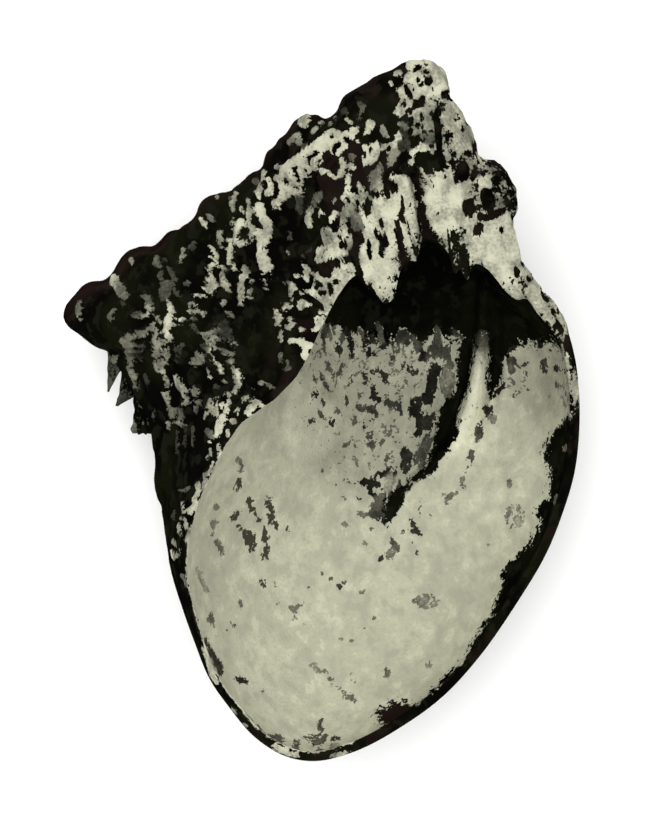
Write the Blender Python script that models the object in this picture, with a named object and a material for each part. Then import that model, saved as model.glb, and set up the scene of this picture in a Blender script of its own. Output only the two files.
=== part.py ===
"""The deep lower valve of a thorny oyster, lying on its convex back with the bowl up.

The shell is one closed skin laid over a net of lines. Each line starts at the low point of the bowl,
runs up the inner wall and over the rim, crosses the outer face to the outline, turns under the shell
and ends on the small flat spot that it rests on. +X is right, +Y is towards the beak, +Z is up, and
the origin is on that flat spot, under the middle of the shell's box.
"""

import math

import bmesh
import bpy
import numpy as np

MM = 0.001

# Each row is one line of the net, clockwise as seen from above, in millimetres:
# the rim's x and y, then the outline's x and y and the outline's height.
HINGE_RIGHT = [
    # ligament cleft, beak and the right half of the hinge with its forked tooth
    (18.4, 29.1, 11.7, 58.1, 36),
    (19.8, 28.8, 14.5, 59.3, 38),
    (20.8, 28.1, 16.9, 59.8, 39),
    (22.0, 26.4, 19.5, 59.1, 40),
    (22.9, 23.5, 21.5, 57.1, 40),
    (23.9, 24.0, 22.2, 53.5, 40),
    (25.1, 22.3, 24.1, 50.4, 39),
    (26.3, 24.9, 25.6, 47.3, 39),
    (28.4, 24.2, 27.2, 43.4, 38),
    (29.9, 22.6, 29.9, 42.9, 37),
    (31.5, 20.6, 32.1, 40.1, 36),
    (33.5, 19.0, 33.3, 35.7, 35),
    (35.4, 19.0, 33.2, 31.0, 34),
    (37.2, 16.6, 33.9, 26.6, 33),
    (39.2, 14.4, 36.1, 23.3, 32),
    (40.7, 12.3, 39.3, 19.7, 31),
    (41.4, 10.9, 41.9, 15.6, 30),
]
# Round the right and lower margin the rim is as thick as the lip, so a row is the outline's x and y
# and how far it lies below the rim.
MARGIN = [
    (43.6, 10.0, 3.4),
    (44.5, 3.6, 2.9),
    (44.6, -3.3, 2.4),
    (43.8, -10.6, 2.0),
    (41.7, -17.8, 1.8),
    (38.8, -24.9, 1.8),
    (33.7, -33.4, 1.8),
    (27.7, -42.0, 1.8),
    (21.3, -49.0, 1.8),
    (14.0, -54.3, 1.8),
    (6.4, -58.3, 1.9),
    (-0.6, -60.0, 2.1),
    (-5.9, -59.1, 2.6),
    (-11.2, -55.7, 3.6),
    (-15.5, -50.6, 5.0),
    (-18.8, -45.8, 6.8),
]
LEFT = [
    # left flank, down to the pointed left end
    (-19.9, -38.2, -21.5, -39.3, 32),
    (-21.6, -31.7, -23.9, -32.9, 29),
    (-22.4, -26.7, -25.6, -27.8, 26),
    (-22.0, -21.6, -26.8, -21.8, 23),
    (-20.7, -16.6, -27.7, -14.9, 20),
    (-18.4, -11.1, -28.4, -8.4, 18),
    (-16.0, -6.2, -28.9, -3.3, 16.5),
    (-13.1, -2.1, -31.1, 2.2, 15.5),
    (-9.9, 0.3, -34.2, 7.4, 15),
    (-7.6, 1.9, -36.8, 11.7, 15),
    (-6.1, 3.4, -41.1, 13.2, 16),
    (-4.9, 4.6, -44.1, 15.8, 17),
    # the knobbed upper left outline, as far as the corner where the left tooth begins
    (-4.0, 5.6, -43.3, 18.7, 18),
    (-3.2, 6.8, -40.2, 21.6, 19),
    (-2.4, 8.2, -37.8, 22.8, 20),
    (-1.7, 9.6, -35.4, 24.5, 20.5),
    (-1.0, 11.1, -33.5, 27.3, 21),
    (-0.4, 12.4, -31.6, 28.1, 21.5),
    (0.3, 13.8, -29.1, 28.3, 22),
    (0.9, 15.2, -26.8, 30.7, 23),
    (1.6, 16.6, -23.9, 30.9, 24),
    (2.3, 17.9, -21.2, 33.8, 25),
    (3.0, 19.2, -19.8, 36.5, 26),
    (3.8, 20.4, -17.4, 37.7, 27),
    (4.5, 21.4, -15.0, 37.9, 27.5),
    (5.2, 22.2, -12.3, 40.6, 28),
    (5.8, 22.7, -9.9, 42.0, 29),
    (6.4, 22.8, -8.8, 44.7, 30),
    # the round left tooth, and the last of the outline before the beak
    (7.3, 21.6, -6.1, 46.3, 31),
    (8.3, 20.6, -4.5, 48.8, 32),
    (9.7, 19.7, -3.6, 49.8, 32.5),
    (11.1, 18.2, -2.7, 50.4, 33),
    (12.6, 19.2, -1.0, 50.3, 33.5),
    (13.1, 21.3, 0.8, 50.0, 34),
    (13.8, 23.8, 2.3, 50.9, 34.5),
    (15.2, 25.4, 3.5, 52.3, 35),
    (16.5, 25.5, 4.9, 54.2, 35),
    (17.1, 27.9, 6.3, 55.4, 35.5),
]
LIP = 1.8

# The rim lies near one sloping plane, which is highest at the left and towards the hinge.
RIM_HEIGHT = 37.0
RIM_CENTRE = (13.0, -15.0)
RIM_SLOPE = (-0.29, 0.20)

# The bowl: its low point, and how square its section is on the open sides and under the hinge.
BOWL_LOW = (12.4, -19.4, 10.0)
BOWL_POWER = 1.9
HOLLOW_POWER = 4.0
HOLLOW_REACH = 9.0  # how far the hollow goes in under the hinge plate
HOLLOW_LEFT = (-62.0, -8.0)  # the bearings in degrees, clockwise from +Y, over which it begins
HOLLOW_RIGHT = (78.0, 20.0)

# The flat spot that the shell rests on, a wavy ellipse.
FOOT_CENTRE = (-0.5, 5.0)
FOOT_RADII = (17.0, 14.0)
FOOT_WAVE = 0.05

# The ridge that curves down the bowl: its crest's y and x, its half width and rise, and the depth of
# the pit on its left there. It widens downwards and sinks into the floor.
RIDGE_Y = (-24.0, -19.4, -17.0, -13.5, -8.7, -4.1, 1.0, 6.7, 13.9, 19.0)
RIDGE_X = (9.0, 12.4, 15.2, 18.6, 22.4, 25.0, 26.7, 27.7, 28.3, 28.4)
RIDGE_HALF = (3.0, 3.0, 3.0, 2.8, 2.2, 1.9, 1.7, 1.4, 1.1, 1.0)
RIDGE_RISE = (0.0, 0.1, 0.4, 0.8, 1.3, 1.6, 1.8, 1.8, 1.8, 1.6)
PIT_DEPTH = (0.0, 0.4, 1.2, 2.6, 4.2, 5.0, 5.4, 5.2, 4.6, 3.0)
RIDGE_ROW = 8.0  # the row of the net that runs along the crest
RIDGE_BEARING = 20.0  # and its direction from the low point, in degrees
KNOB = (12.4, -12.6)  # a small round knob on the floor beside the pit's lower end

# The furrow between the hinge area and the left flank: its line's y and x, and its depth.
FURROW_Y = (0.0, 4.5, 11.3, 19.0, 27.6, 35.3, 40.0)
FURROW_X = (-12.0, -9.9, -8.1, -6.8, -4.2, -3.3, -2.5)
FURROW_DEPTH = 3.2

# The ligament's cleft, from the rim up the hinge area.
CLEFT_FOOT = (18.4, 29.1)
CLEFT_HEAD = (15.6, 42.0)
CLEFT_DEPTH = 2.6

# The frilled scales that hang from the left flank: root, tip, width and thickness.
SCALES = [
    ((-30.6, 2.4, 17.0), (-32.0, -4.4, 13.5), 4.6, 1.8),
    ((-33.4, 6.2, 16.5), (-35.5, 0.8, 13.5), 3.0, 1.4),
    ((-35.6, 11.2, 16.5), (-36.9, 3.2, 14.0), 2.8, 1.3),
]
SCALE_SIDES = 8

COLUMNS = 152  # lines of the finished net


def smooth(low, high, value):
    """0 at low and beyond, 1 at high and beyond, with an S-shaped change between them."""
    t = np.clip((value - low) / (high - low), 0.0, 1.0)
    return t * t * (3.0 - 2.0 * t)


def hill(value, middle, width):
    """A bell curve, 1 at the middle and 0.37 at one width from it."""
    return np.exp(-(((value - middle) / width) ** 2))


def closed_curve(points, at):
    """Cubic pieces through the closed row of points, at places given in rows. Each point's slope is
    that of the parabola through it and its two neighbours."""
    count = len(points)
    before = np.roll(points, 1, axis=0)
    after = np.roll(points, -1, axis=0)
    reach_in = np.sqrt(np.linalg.norm(points - before, axis=1))[:, None]
    reach_out = np.sqrt(np.linalg.norm(after - points, axis=1))[:, None]
    speed_in = (points - before) / reach_in
    speed_out = (after - points) / reach_out
    slope = (speed_in * reach_out + speed_out * reach_in) / (reach_in + reach_out)
    row = np.floor(at).astype(int)
    t = (at - row)[:, None]
    row = row % count
    following = (row + 1) % count
    span = reach_out[row]
    return (
        (2 * t**3 - 3 * t**2 + 1) * points[row]
        + (t**3 - 2 * t**2 + t) * span * slope[row]
        + (-2 * t**3 + 3 * t**2) * points[following]
        + (t**3 - t**2) * span * slope[following]
    )


def rim_height(x, y):
    """The height of the sloping plane that the rim lies near."""
    across = RIM_SLOPE[0] * (x - RIM_CENTRE[0])
    along = RIM_SLOPE[1] * (y - RIM_CENTRE[1])
    return RIM_HEIGHT + across + along


def net_rows():
    """All the rows, with the rim of each margin row set one lip's thickness inside the outline."""
    edge = np.array([HINGE_RIGHT[-1][2:]] + MARGIN + [LEFT[0][2:]], dtype=float)
    along = edge[2:, :2] - edge[:-2, :2]
    inward = np.column_stack([along[:, 1], -along[:, 0]]) / np.linalg.norm(along, axis=1)[:, None]
    rim = edge[1:-1, :2] + LIP * inward
    height = rim_height(rim[:, 0], rim[:, 1]) - edge[1:-1, 2]
    margin = np.column_stack([rim, edge[1:-1, :2], height])
    return np.vstack([HINGE_RIGHT, margin, LEFT])


def net_lines(count):
    """The rim points, outline points and row numbers of the lines. They stand at equal steps of the
    mean of the two curves' lengths, closer along the hinge, where the forms are small, and wider
    round the plain margin. Row numbers are counted from the cleft, up to the right of it."""
    table = net_rows()
    fine = np.linspace(0.0, len(table), 40 * len(table), endpoint=False)
    both = closed_curve(table, fine)
    step = np.roll(both, -1, axis=0) - both
    row = (fine + len(table) / 2) % len(table) - len(table) / 2
    closer = 1.0 + 0.7 * smooth(-15, -12, row) * smooth(16, 13, row) + 1.6 * hill(row, RIDGE_ROW, 3.0)
    closer -= 0.4 * smooth(16, 19, row) + 0.4 * smooth(-34, -37, row)
    cost = np.linalg.norm(step[:, :2], axis=1) * closer
    cost += 0.5 * np.linalg.norm(step[:, 2:4], axis=1)
    so_far = np.concatenate([[0.0], np.cumsum(cost)])
    wanted = np.linspace(0.0, so_far[-1], count, endpoint=False)
    at = np.interp(wanted, so_far, np.append(fine, len(table)))
    both = closed_curve(table, at)
    rim = np.column_stack([both[:, :2], rim_height(both[:, 0], both[:, 1])])
    outline = both[:, 2:5]
    from_cleft = (at + len(table) / 2) % len(table) - len(table) / 2
    return rim, outline, from_cleft


def without_teeth(rim, from_cleft):
    """The rim with its teeth and cleft evened out along the hinge, by averaging neighbours over and
    over."""
    even = rim.copy()
    share = 0.5 * (smooth(-22.0, -12.0, from_cleft) * smooth(16.0, 11.0, from_cleft))[:, None]
    for _ in range(round((len(rim) / 16) ** 2)):
        even += share * (0.5 * (np.roll(even, 1, axis=0) + np.roll(even, -1, axis=0)) - even)
    return even


def bowl_ring(rim, outline, from_cleft, turn):
    """A ring of the inner wall, for turn from 0 at the low point to 1 at the rim. Each line's section
    is a quarter of a superellipse, taken at equal steps of the direction from the section's centre.
    The hollow pushes it outwards under the hinge plate, and the lines near the ridge bend to run
    along its crest. The climb is the turn as the section's height alone would give it."""
    even = without_teeth(rim, from_cleft)
    low = np.array(BOWL_LOW)
    away = even[:, :2] - low[:2]
    bearing = np.degrees(np.arctan2(away[:, 0], away[:, 1]))
    under_hinge = smooth(*HOLLOW_LEFT, bearing) * smooth(*HOLLOW_RIGHT, bearing)
    power = BOWL_POWER + (HOLLOW_POWER - BOWL_POWER) * under_hinge
    angle = turn * math.pi / 2
    size = (math.sin(angle) ** power + math.cos(angle) ** power) ** (1.0 / power)
    out = math.sin(angle) / size
    up = 1.0 - math.cos(angle) / size
    climb = np.arccos(np.clip((1.0 - up) ** (power / 2), 0.0, 1.0)) * 2 / math.pi
    near_rim = smooth(0.84, 1.0, climb)
    flat = low[:2] + away * out[:, None] + (rim - even)[:, :2] * near_rim[:, None]
    ridge_end = np.array((RIDGE_X[-1], 24.0))
    straight = low[:2] + (ridge_end - low[:2]) * out[:, None]
    bend = np.interp(straight[:, 1], RIDGE_Y, RIDGE_X) - straight[:, 0]
    flat[:, 0] += bend * hill(bearing, RIDGE_BEARING, 34.0) * smooth(1.0, 0.85, out)
    gap = np.linalg.norm(outline[:, :2] - even[:, :2], axis=1)
    reach = under_hinge * smooth(11.0, 3.0, from_cleft) * np.clip(0.5 * (gap - 9.0), 0.0, HOLLOW_REACH)
    pocket = np.sin(math.pi * np.clip((climb - 0.5) / 0.47, 0.0, 1.0)) ** 2
    flat += away / np.linalg.norm(away, axis=1)[:, None] * (reach * pocket)[:, None]
    height = low[2] + (even[:, 2] - low[2]) * up + (rim - even)[:, 2] * near_rim
    height += bowl_relief(flat[:, 0], flat[:, 1]) * smooth(0.80, 0.62, climb)
    return np.column_stack([flat, height])


def bowl_relief(x, y):
    """The ridge with the steep-sided pit on its left and the groove on its right, and a small knob."""
    crest = np.interp(y, RIDGE_Y, RIDGE_X)
    ahead = np.interp(y + 1.0, RIDGE_Y, RIDGE_X)
    side = (x - crest) / np.hypot(1.0, ahead - crest)
    half = np.interp(y, RIDGE_Y, RIDGE_HALF)
    ridge = np.interp(y, RIDGE_Y, RIDGE_RISE) * hill(side, 0.0, half)
    breadth = np.interp(y, (-18.0, 0.0, 15.0), (3.0, 5.0, 9.0))
    beyond_wall = np.maximum(-side - half - 0.9, 0.0)
    pit = -np.interp(y, RIDGE_Y, PIT_DEPTH) * smooth(0.6, 1.6, -side / half)
    pit *= np.exp(-((beyond_wall / breadth) ** 1.5))
    groove = -2.2 * hill(side, half + 1.6, 1.2) * smooth(-4.0, 6.0, y)
    knob = 1.2 * hill(np.hypot(x - KNOB[0], y - KNOB[1]), 0.0, 1.6)
    return (ridge + pit + groove) * smooth(24.0, 19.0, y) + knob


def outer_ring(rim, outline, from_cleft, turn):
    """A ring of the upper face, for turn from 0 at the rim to 1 at the outline. It stays nearly level
    over the hinge area, and falls away from the rim at once on the left flank."""
    hinge_side = smooth(-14.0, -6.0, from_cleft) * smooth(20.0, 14.0, from_cleft)
    power = 1.3 + 1.9 * hinge_side
    angle = turn * math.pi / 2
    out = math.sin(angle) ** (2.0 / power)
    down = 1.0 - (1.0 - out**power) ** (1.0 / power)
    flat = rim[:, :2] + (outline[:, :2] - rim[:, :2]) * out[:, None]
    level = rim_height(flat[:, 0], flat[:, 1]) * hinge_side + rim[:, 2] * (1.0 - hinge_side)
    end = rim_height(outline[:, 0], outline[:, 1]) * hinge_side + rim[:, 2] * (1.0 - hinge_side)
    return np.column_stack([flat, level + (outline[:, 2] - end) * down])


def foot_line(outline):
    """The point on the foot's edge that lies on each line's side of it."""
    away = outline[:, :2] - np.array(FOOT_CENTRE)
    angle = np.arctan2(away[:, 1], away[:, 0])
    wave = 1.0 + FOOT_WAVE * np.sin(3 * angle + 0.6) + 0.5 * FOOT_WAVE * np.sin(5 * angle)
    x = FOOT_CENTRE[0] + FOOT_RADII[0] * wave * np.cos(angle)
    y = FOOT_CENTRE[1] + FOOT_RADII[1] * wave * np.sin(angle)
    return np.column_stack([x, y, np.zeros_like(x)])


def under_ring(outline, foot, from_cleft, turn):
    """A ring of the convex back, for turn from 0 at the outline to 1 at the foot's edge. It runs
    straighter to the beak than to the lower margin."""
    power = 1.8 - 0.3 * smooth(-16.0, -6.0, from_cleft) * smooth(16.0, 6.0, from_cleft)
    angle = turn * math.pi / 2
    out = max(math.cos(angle), 0.0) ** (2.0 / power)
    height = outline[:, 2] * (1.0 - math.sin(angle) ** (2.0 / power))
    flat = foot[:, :2] + (outline[:, :2] - foot[:, :2]) * out[:, None]
    return np.column_stack([flat, height])


def outer_relief(points, course, from_cleft, gap):
    """How far the outer skin stands out, in millimetres: ribs that run from the beak to the margin,
    ledges where growth paused, the furrow left of the hinge area, the cleft, and low lumps."""
    x, y, z = points[..., 0], points[..., 1], points[..., 2]
    round_axis = np.arctan2(z - 25.0, x)
    on_hinge = smooth(-9.0, -3.0, from_cleft) * smooth(17.0, 13.0, from_cleft) * smooth(1.1, 0.85, course)
    ribs = 0.8 * np.sin(round_axis * 21.0 + 0.4 * np.sin(y * 0.21))
    ribs *= smooth(8.0, 22.0, np.hypot(x, z - 25.0))
    ledge = (course * 4.0 + 0.05 * np.sin(from_cleft * 0.4)) % 1.0
    ledges = 0.9 * (smooth(0.0, 0.6, ledge) - smooth(0.6, 1.0, ledge)) - 0.4
    lumps = 0.5 * np.sin(x * 0.42 + 1.0) * np.sin(y * 0.37) + 0.25 * np.sin(x * 0.7 + y * 0.8)
    apart = x - np.interp(y, FURROW_Y, FURROW_X)
    furrow = -FURROW_DEPTH * hill(apart, 0.0, 3.6) * smooth(-2.0, 5.0, y) * smooth(44.0, 34.0, y)
    cleft_x = np.interp(y, (CLEFT_FOOT[1], CLEFT_HEAD[1]), (CLEFT_FOOT[0], CLEFT_HEAD[0]))
    cleft = -CLEFT_DEPTH * hill(x - cleft_x, 0.0, 0.9)
    cleft *= smooth(CLEFT_HEAD[1], 38.0, y) * smooth(26.0, 28.5, y)
    from_rim = gap * np.minimum(course, 1.0) + 40.0 * np.maximum(course - 1.0, 0.0)
    thin = smooth(9.0, 4.0, gap) * smooth(0.0, 1.0, from_rim)
    cover = smooth(0.5, 7.0 + 12.0 * thin, from_rim) * smooth(1.9, 1.65, course)
    cover = cover * (1.0 - 0.8 * hill(course, 1.0, 0.07))
    coat = ribs * (1.0 - on_hinge) + ledges * (1.0 - 0.8 * on_hinge) + lumps
    return coat * cover + (furrow * smooth(1.0, 6.0, from_rim) + cleft) * smooth(1.0, 0.8, course)


def teeth(points):
    """The knuckles of the two hinge teeth, raised over the rim."""
    x, y = points[..., 0], points[..., 1]
    left = 1.5 * hill(np.hypot(x - 11.0, y - 20.6), 0.0, 2.0)
    right = 1.1 * hill(np.hypot(x - 24.9, y - 24.2), 0.0, 1.5)
    return left + right


def outward(grid):
    """The unit normal at each point of a grid whose first axis is the course, its second the line."""
    along = np.gradient(grid, axis=0)
    around = np.roll(grid, -1, axis=1) - np.roll(grid, 1, axis=1)
    normal = np.cross(around, along)
    length = np.linalg.norm(normal, axis=2, keepdims=True)
    return normal / np.maximum(length, 1e-9)


def shell_rings():
    """All the rings from the bowl's low point to the foot, and how many lines each one skips."""
    rim, outline, from_cleft = net_lines(COLUMNS)
    foot = foot_line(outline)
    inner_turns = (0.06, 0.12, 0.18, 0.24, 0.30, 0.37, 0.44, 0.51, 0.58, 0.66, 0.75, 0.84, 0.93)
    inner_skips = (8, 4, 2, 2, 2, 2, 2, 2, 2, 1, 1, 1, 1)
    outer_turns = tuple(1.0 - (1.0 - i / 16) ** 1.25 for i in range(16))
    under_turns = (0.0, 0.12, 0.24, 0.36, 0.48, 0.60, 0.72, 0.84, 1.0)
    under_skips = (1, 1, 1, 2, 2, 2, 2, 4, 4)
    inner = np.stack([bowl_ring(rim, outline, from_cleft, t) for t in inner_turns])
    upper = [outer_ring(rim, outline, from_cleft, t) for t in outer_turns]
    lower = [under_ring(outline, foot, from_cleft, t) for t in under_turns]
    outer = np.stack(upper + lower)
    course = np.array(list(outer_turns) + [1.0 + t for t in under_turns])[:, None]
    gap = np.linalg.norm(outline[:, :2] - rim[:, :2], axis=1)
    relief = outer_relief(outer, course, from_cleft[None, :], gap[None, :])
    outer += outward(outer) * relief[..., None]
    outer[: len(outer_turns), :, 2] += teeth(outer[: len(outer_turns)])
    inner[-2:, :, 2] += teeth(inner[-2:]) * np.array([0.4, 0.7])[:, None]
    outer[-1, :, 2] = 0.0
    rings = np.concatenate([inner, outer])
    skips = list(inner_skips) + [1] * len(outer_turns) + list(under_skips)
    return rings, skips


def bridge(faces, first, second):
    """Joins two neighbouring rings of point numbers, where one may have twice the points."""
    if len(first) == len(second):
        for i in range(len(first)):
            j = (i + 1) % len(first)
            faces.append((first[i], first[j], second[j], second[i]))
        return
    turned = len(first) > len(second)
    few, many = (second, first) if turned else (first, second)
    for i in range(len(few)):
        j = (i + 1) % len(few)
        a, b, c = many[2 * i], many[2 * i + 1], many[(2 * i + 2) % len(many)]
        made = [(few[i], b, a), (few[i], few[j], b), (few[j], c, b)]
        faces.extend([face[::-1] for face in made] if turned else made)


def skin():
    """The closed skin's points and faces, with a fan of triangles at the bowl's low point and at the
    middle of the foot."""
    rings, skips = shell_rings()
    points = []
    numbered = []
    for ring, skip in zip(rings, skips):
        chosen = ring[::skip]
        numbered.append(list(range(len(points), len(points) + len(chosen))))
        points.extend(chosen.tolist())
    low = np.array([[BOWL_LOW[0], BOWL_LOW[1]]])
    points.append((BOWL_LOW[0], BOWL_LOW[1], BOWL_LOW[2] + float(bowl_relief(low[:, 0], low[:, 1])[0])))
    points.append((FOOT_CENTRE[0], FOOT_CENTRE[1], 0.0))
    faces = []
    for first, second in zip(numbered[:-1], numbered[1:]):
        bridge(faces, first, second)
    middle, base = len(points) - 2, len(points) - 1
    first, last = numbered[0], numbered[-1]
    faces.extend((middle, first[(i + 1) % len(first)], first[i]) for i in range(len(first)))
    faces.extend((base, last[i], last[(i + 1) % len(last)]) for i in range(len(last)))
    return points, faces


def scale_shape(root, tip, width, thickness):
    """A closed flat blade from root to tip: rings of points along a line that sags outwards, each an
    ellipse that narrows towards the tip."""
    root, tip = np.array(root), np.array(tip)
    along = tip - root
    across = np.cross(along, (0.0, 0.0, 1.0))
    across /= np.linalg.norm(across)
    over = np.cross(across, along)
    over /= np.linalg.norm(over)
    points, faces = [], []
    places = (0.0, 0.3, 0.6, 0.85, 1.0)
    turns = np.arange(SCALE_SIDES) * 2 * math.pi / SCALE_SIDES
    for place in places:
        middle = root + along * place + over * thickness * math.sin(math.pi * place)
        narrow = 0.30 + 0.70 * (1.0 - place) ** 0.7
        for turn in turns:
            side = across * width / 2 * narrow * math.cos(turn)
            points.append(middle + side + over * thickness / 2 * narrow * math.sin(turn))
    for ring in range(len(places) - 1):
        for i in range(SCALE_SIDES):
            j = (i + 1) % SCALE_SIDES
            a, b = ring * SCALE_SIDES + i, ring * SCALE_SIDES + j
            faces.append((a, b, b + SCALE_SIDES, a + SCALE_SIDES))
    faces.append(tuple(reversed(range(SCALE_SIDES))))
    faces.append(tuple(len(points) - SCALE_SIDES + i for i in range(SCALE_SIDES)))
    return points, faces


def finish(name, colour, roughness):
    """A plain finish of one colour."""
    material = bpy.data.materials.new(name)
    material.use_nodes = True
    shader = material.node_tree.nodes["Principled BSDF"]
    shader.inputs["Base Color"].default_value = (*colour, 1.0)
    shader.inputs["Roughness"].default_value = roughness
    shader.inputs["Metallic"].default_value = 0.0
    material.diffuse_color = (*colour, 1.0)
    return material


def solid(name, points, faces):
    """A mesh object from points in millimetres, with its faces turned outwards."""
    mesh = bpy.data.meshes.new(name)
    mesh.from_pydata([tuple(value * MM for value in point) for point in points], [], faces)
    edit = bmesh.new()
    edit.from_mesh(mesh)
    bmesh.ops.triangulate(edit, faces=edit.faces[:])
    bmesh.ops.recalc_face_normals(edit, faces=edit.faces[:])
    edit.to_mesh(mesh)
    edit.free()
    mesh.shade_smooth()
    made = bpy.data.objects.new(name, mesh)
    bpy.context.scene.collection.objects.link(made)
    return made


def build():
    for obj in list(bpy.data.objects):
        bpy.data.objects.remove(obj)
    valve = solid("lower_valve", *skin())
    valve.data.materials.append(finish("worn_shell", (0.42, 0.41, 0.33), 0.7))
    for number, measures in enumerate(SCALES):
        scale = solid(f"scale_{number}", *scale_shape(*measures))
        scale.hide_render = True
        scale.display_type = "WIRE"
        grow = valve.modifiers.new(scale.name, "BOOLEAN")
        grow.operation = "UNION"
        grow.solver = "EXACT"
        grow.object = scale


build()
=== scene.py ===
import math

import bpy
import numpy as np
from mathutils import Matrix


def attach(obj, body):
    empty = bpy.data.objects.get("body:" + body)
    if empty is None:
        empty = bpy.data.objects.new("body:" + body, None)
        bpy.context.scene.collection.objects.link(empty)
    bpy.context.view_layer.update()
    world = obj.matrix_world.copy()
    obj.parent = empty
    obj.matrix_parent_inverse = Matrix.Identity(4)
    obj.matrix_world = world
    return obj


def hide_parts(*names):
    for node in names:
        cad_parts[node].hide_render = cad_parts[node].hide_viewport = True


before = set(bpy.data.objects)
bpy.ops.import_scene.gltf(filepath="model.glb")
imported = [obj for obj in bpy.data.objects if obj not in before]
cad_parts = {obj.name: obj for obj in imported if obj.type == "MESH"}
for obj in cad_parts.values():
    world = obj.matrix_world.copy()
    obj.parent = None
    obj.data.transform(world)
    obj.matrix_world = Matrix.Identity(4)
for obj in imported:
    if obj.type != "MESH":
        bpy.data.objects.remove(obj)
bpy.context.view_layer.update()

# The valve
#
# One thick, deep lower valve of a thorny oyster, of worn, partly stained shell, grown as one piece, with
# the shade in its hollows painted dark. Its closed skin lies over a net of lines, each from the bowl's low
# point up over the rim, across the outer face and under to the flat spot that the valve rests on. Lengths
# here are in millimetres.

# The rim and the outline, clockwise as seen from above. In each row: the rim's x and y, then the
# outline's x, y and height. The ligament's cleft, the beak and the forked tooth come first.
HINGE_RIGHT = [
    (18.4, 29.1, 11.7, 58.1, 36),
    (19.8, 28.8, 14.5, 59.3, 38),
    (20.8, 28.1, 16.9, 59.8, 39),
    (22.0, 26.4, 19.5, 59.1, 40),
    (22.9, 23.5, 21.5, 57.1, 40),
    (23.9, 24.0, 22.2, 53.5, 40),
    (25.1, 22.3, 24.1, 50.4, 39),
    (26.3, 24.9, 25.6, 47.3, 39),
    (28.4, 24.2, 27.2, 43.4, 38),
    (29.9, 22.6, 29.9, 42.9, 37),
    (31.5, 20.6, 32.1, 40.1, 36),
    (33.5, 19.0, 33.3, 35.7, 35),
    (35.4, 19.0, 33.2, 31.0, 34),
    (37.2, 16.6, 33.9, 26.6, 33),
    (39.2, 14.4, 36.1, 23.3, 32),
    (40.7, 12.3, 39.3, 19.7, 31),
    (41.4, 10.9, 41.9, 15.6, 30),
]
# Round the right and lower margin the rim is one lip thick: the outline's x and y, and how far it
# lies below the rim.
MARGIN = [
    (43.6, 10.0, 3.4),
    (44.5, 3.6, 2.9),
    (44.6, -3.3, 2.4),
    (43.8, -10.6, 2.0),
    (41.7, -17.8, 1.8),
    (38.8, -24.9, 1.8),
    (33.7, -33.4, 1.8),
    (27.7, -42.0, 1.8),
    (21.3, -49.0, 1.8),
    (14.0, -54.3, 1.8),
    (6.4, -58.3, 1.9),
    (-0.6, -60.0, 2.1),
    (-5.9, -59.1, 2.6),
    (-11.2, -55.7, 3.6),
    (-15.5, -50.6, 5.0),
    (-18.8, -45.8, 6.8),
]
LIP = 1.8
# The left flank down to the pointed left end, the knobbed upper left outline, and the left tooth.
LEFT = [
    (-19.9, -38.2, -21.5, -39.3, 32),
    (-21.6, -31.7, -23.9, -32.9, 29),
    (-22.4, -26.7, -25.6, -27.8, 26),
    (-22.0, -21.6, -26.8, -21.8, 23),
    (-20.7, -16.6, -27.7, -14.9, 20),
    (-18.4, -11.1, -28.4, -8.4, 18),
    (-16.0, -6.2, -28.9, -3.3, 16.5),
    (-13.1, -2.1, -31.1, 2.2, 15.5),
    (-9.9, 0.3, -34.2, 7.4, 15),
    (-7.6, 1.9, -36.8, 11.7, 15),
    (-6.1, 3.4, -41.1, 13.2, 16),
    (-4.9, 4.6, -44.1, 15.8, 17),
    (-4.0, 5.6, -43.3, 18.7, 18),
    (-3.2, 6.8, -40.2, 21.6, 19),
    (-2.4, 8.2, -37.8, 22.8, 20),
    (-1.7, 9.6, -35.4, 24.5, 20.5),
    (-1.0, 11.1, -33.5, 27.3, 21),
    (-0.4, 12.4, -31.6, 28.1, 21.5),
    (0.3, 13.8, -29.1, 28.3, 22),
    (0.9, 15.2, -26.8, 30.7, 23),
    (1.6, 16.6, -23.9, 30.9, 24),
    (2.3, 17.9, -21.2, 33.8, 25),
    (3.0, 19.2, -19.8, 36.5, 26),
    (3.8, 20.4, -17.4, 37.7, 27),
    (4.5, 21.4, -15.0, 37.9, 27.5),
    (5.2, 22.2, -12.3, 40.6, 28),
    (5.8, 22.7, -9.9, 42.0, 29),
    (6.4, 22.8, -8.8, 44.7, 30),
    (7.3, 21.6, -6.1, 46.3, 31),
    (8.3, 20.6, -4.5, 48.8, 32),
    (9.7, 19.7, -3.6, 49.8, 32.5),
    (11.1, 18.2, -2.7, 50.4, 33),
    (12.6, 19.2, -1.0, 50.3, 33.5),
    (13.1, 21.3, 0.8, 50.0, 34),
    (13.8, 23.8, 2.3, 50.9, 34.5),
    (15.2, 25.4, 3.5, 52.3, 35),
    (16.5, 25.5, 4.9, 54.2, 35),
    (17.1, 27.9, 6.3, 55.4, 35.5),
]
RIM_HEIGHT = 37.0
RIM_CENTRE = (13.0, -15.0)
RIM_SLOPE = (-0.29, 0.20)
LINES = 960


def smooth(low, high, value):
    """0 at low and beyond, 1 at high and beyond, with an S-shaped change between them."""
    t = np.clip((value - low) / (high - low), 0.0, 1.0)
    return t * t * (3.0 - 2.0 * t)


def hill(value, middle, width):
    """A bell curve, 1 at the middle and 0.37 at one width from it."""
    return np.exp(-(((value - middle) / width) ** 2))


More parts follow.
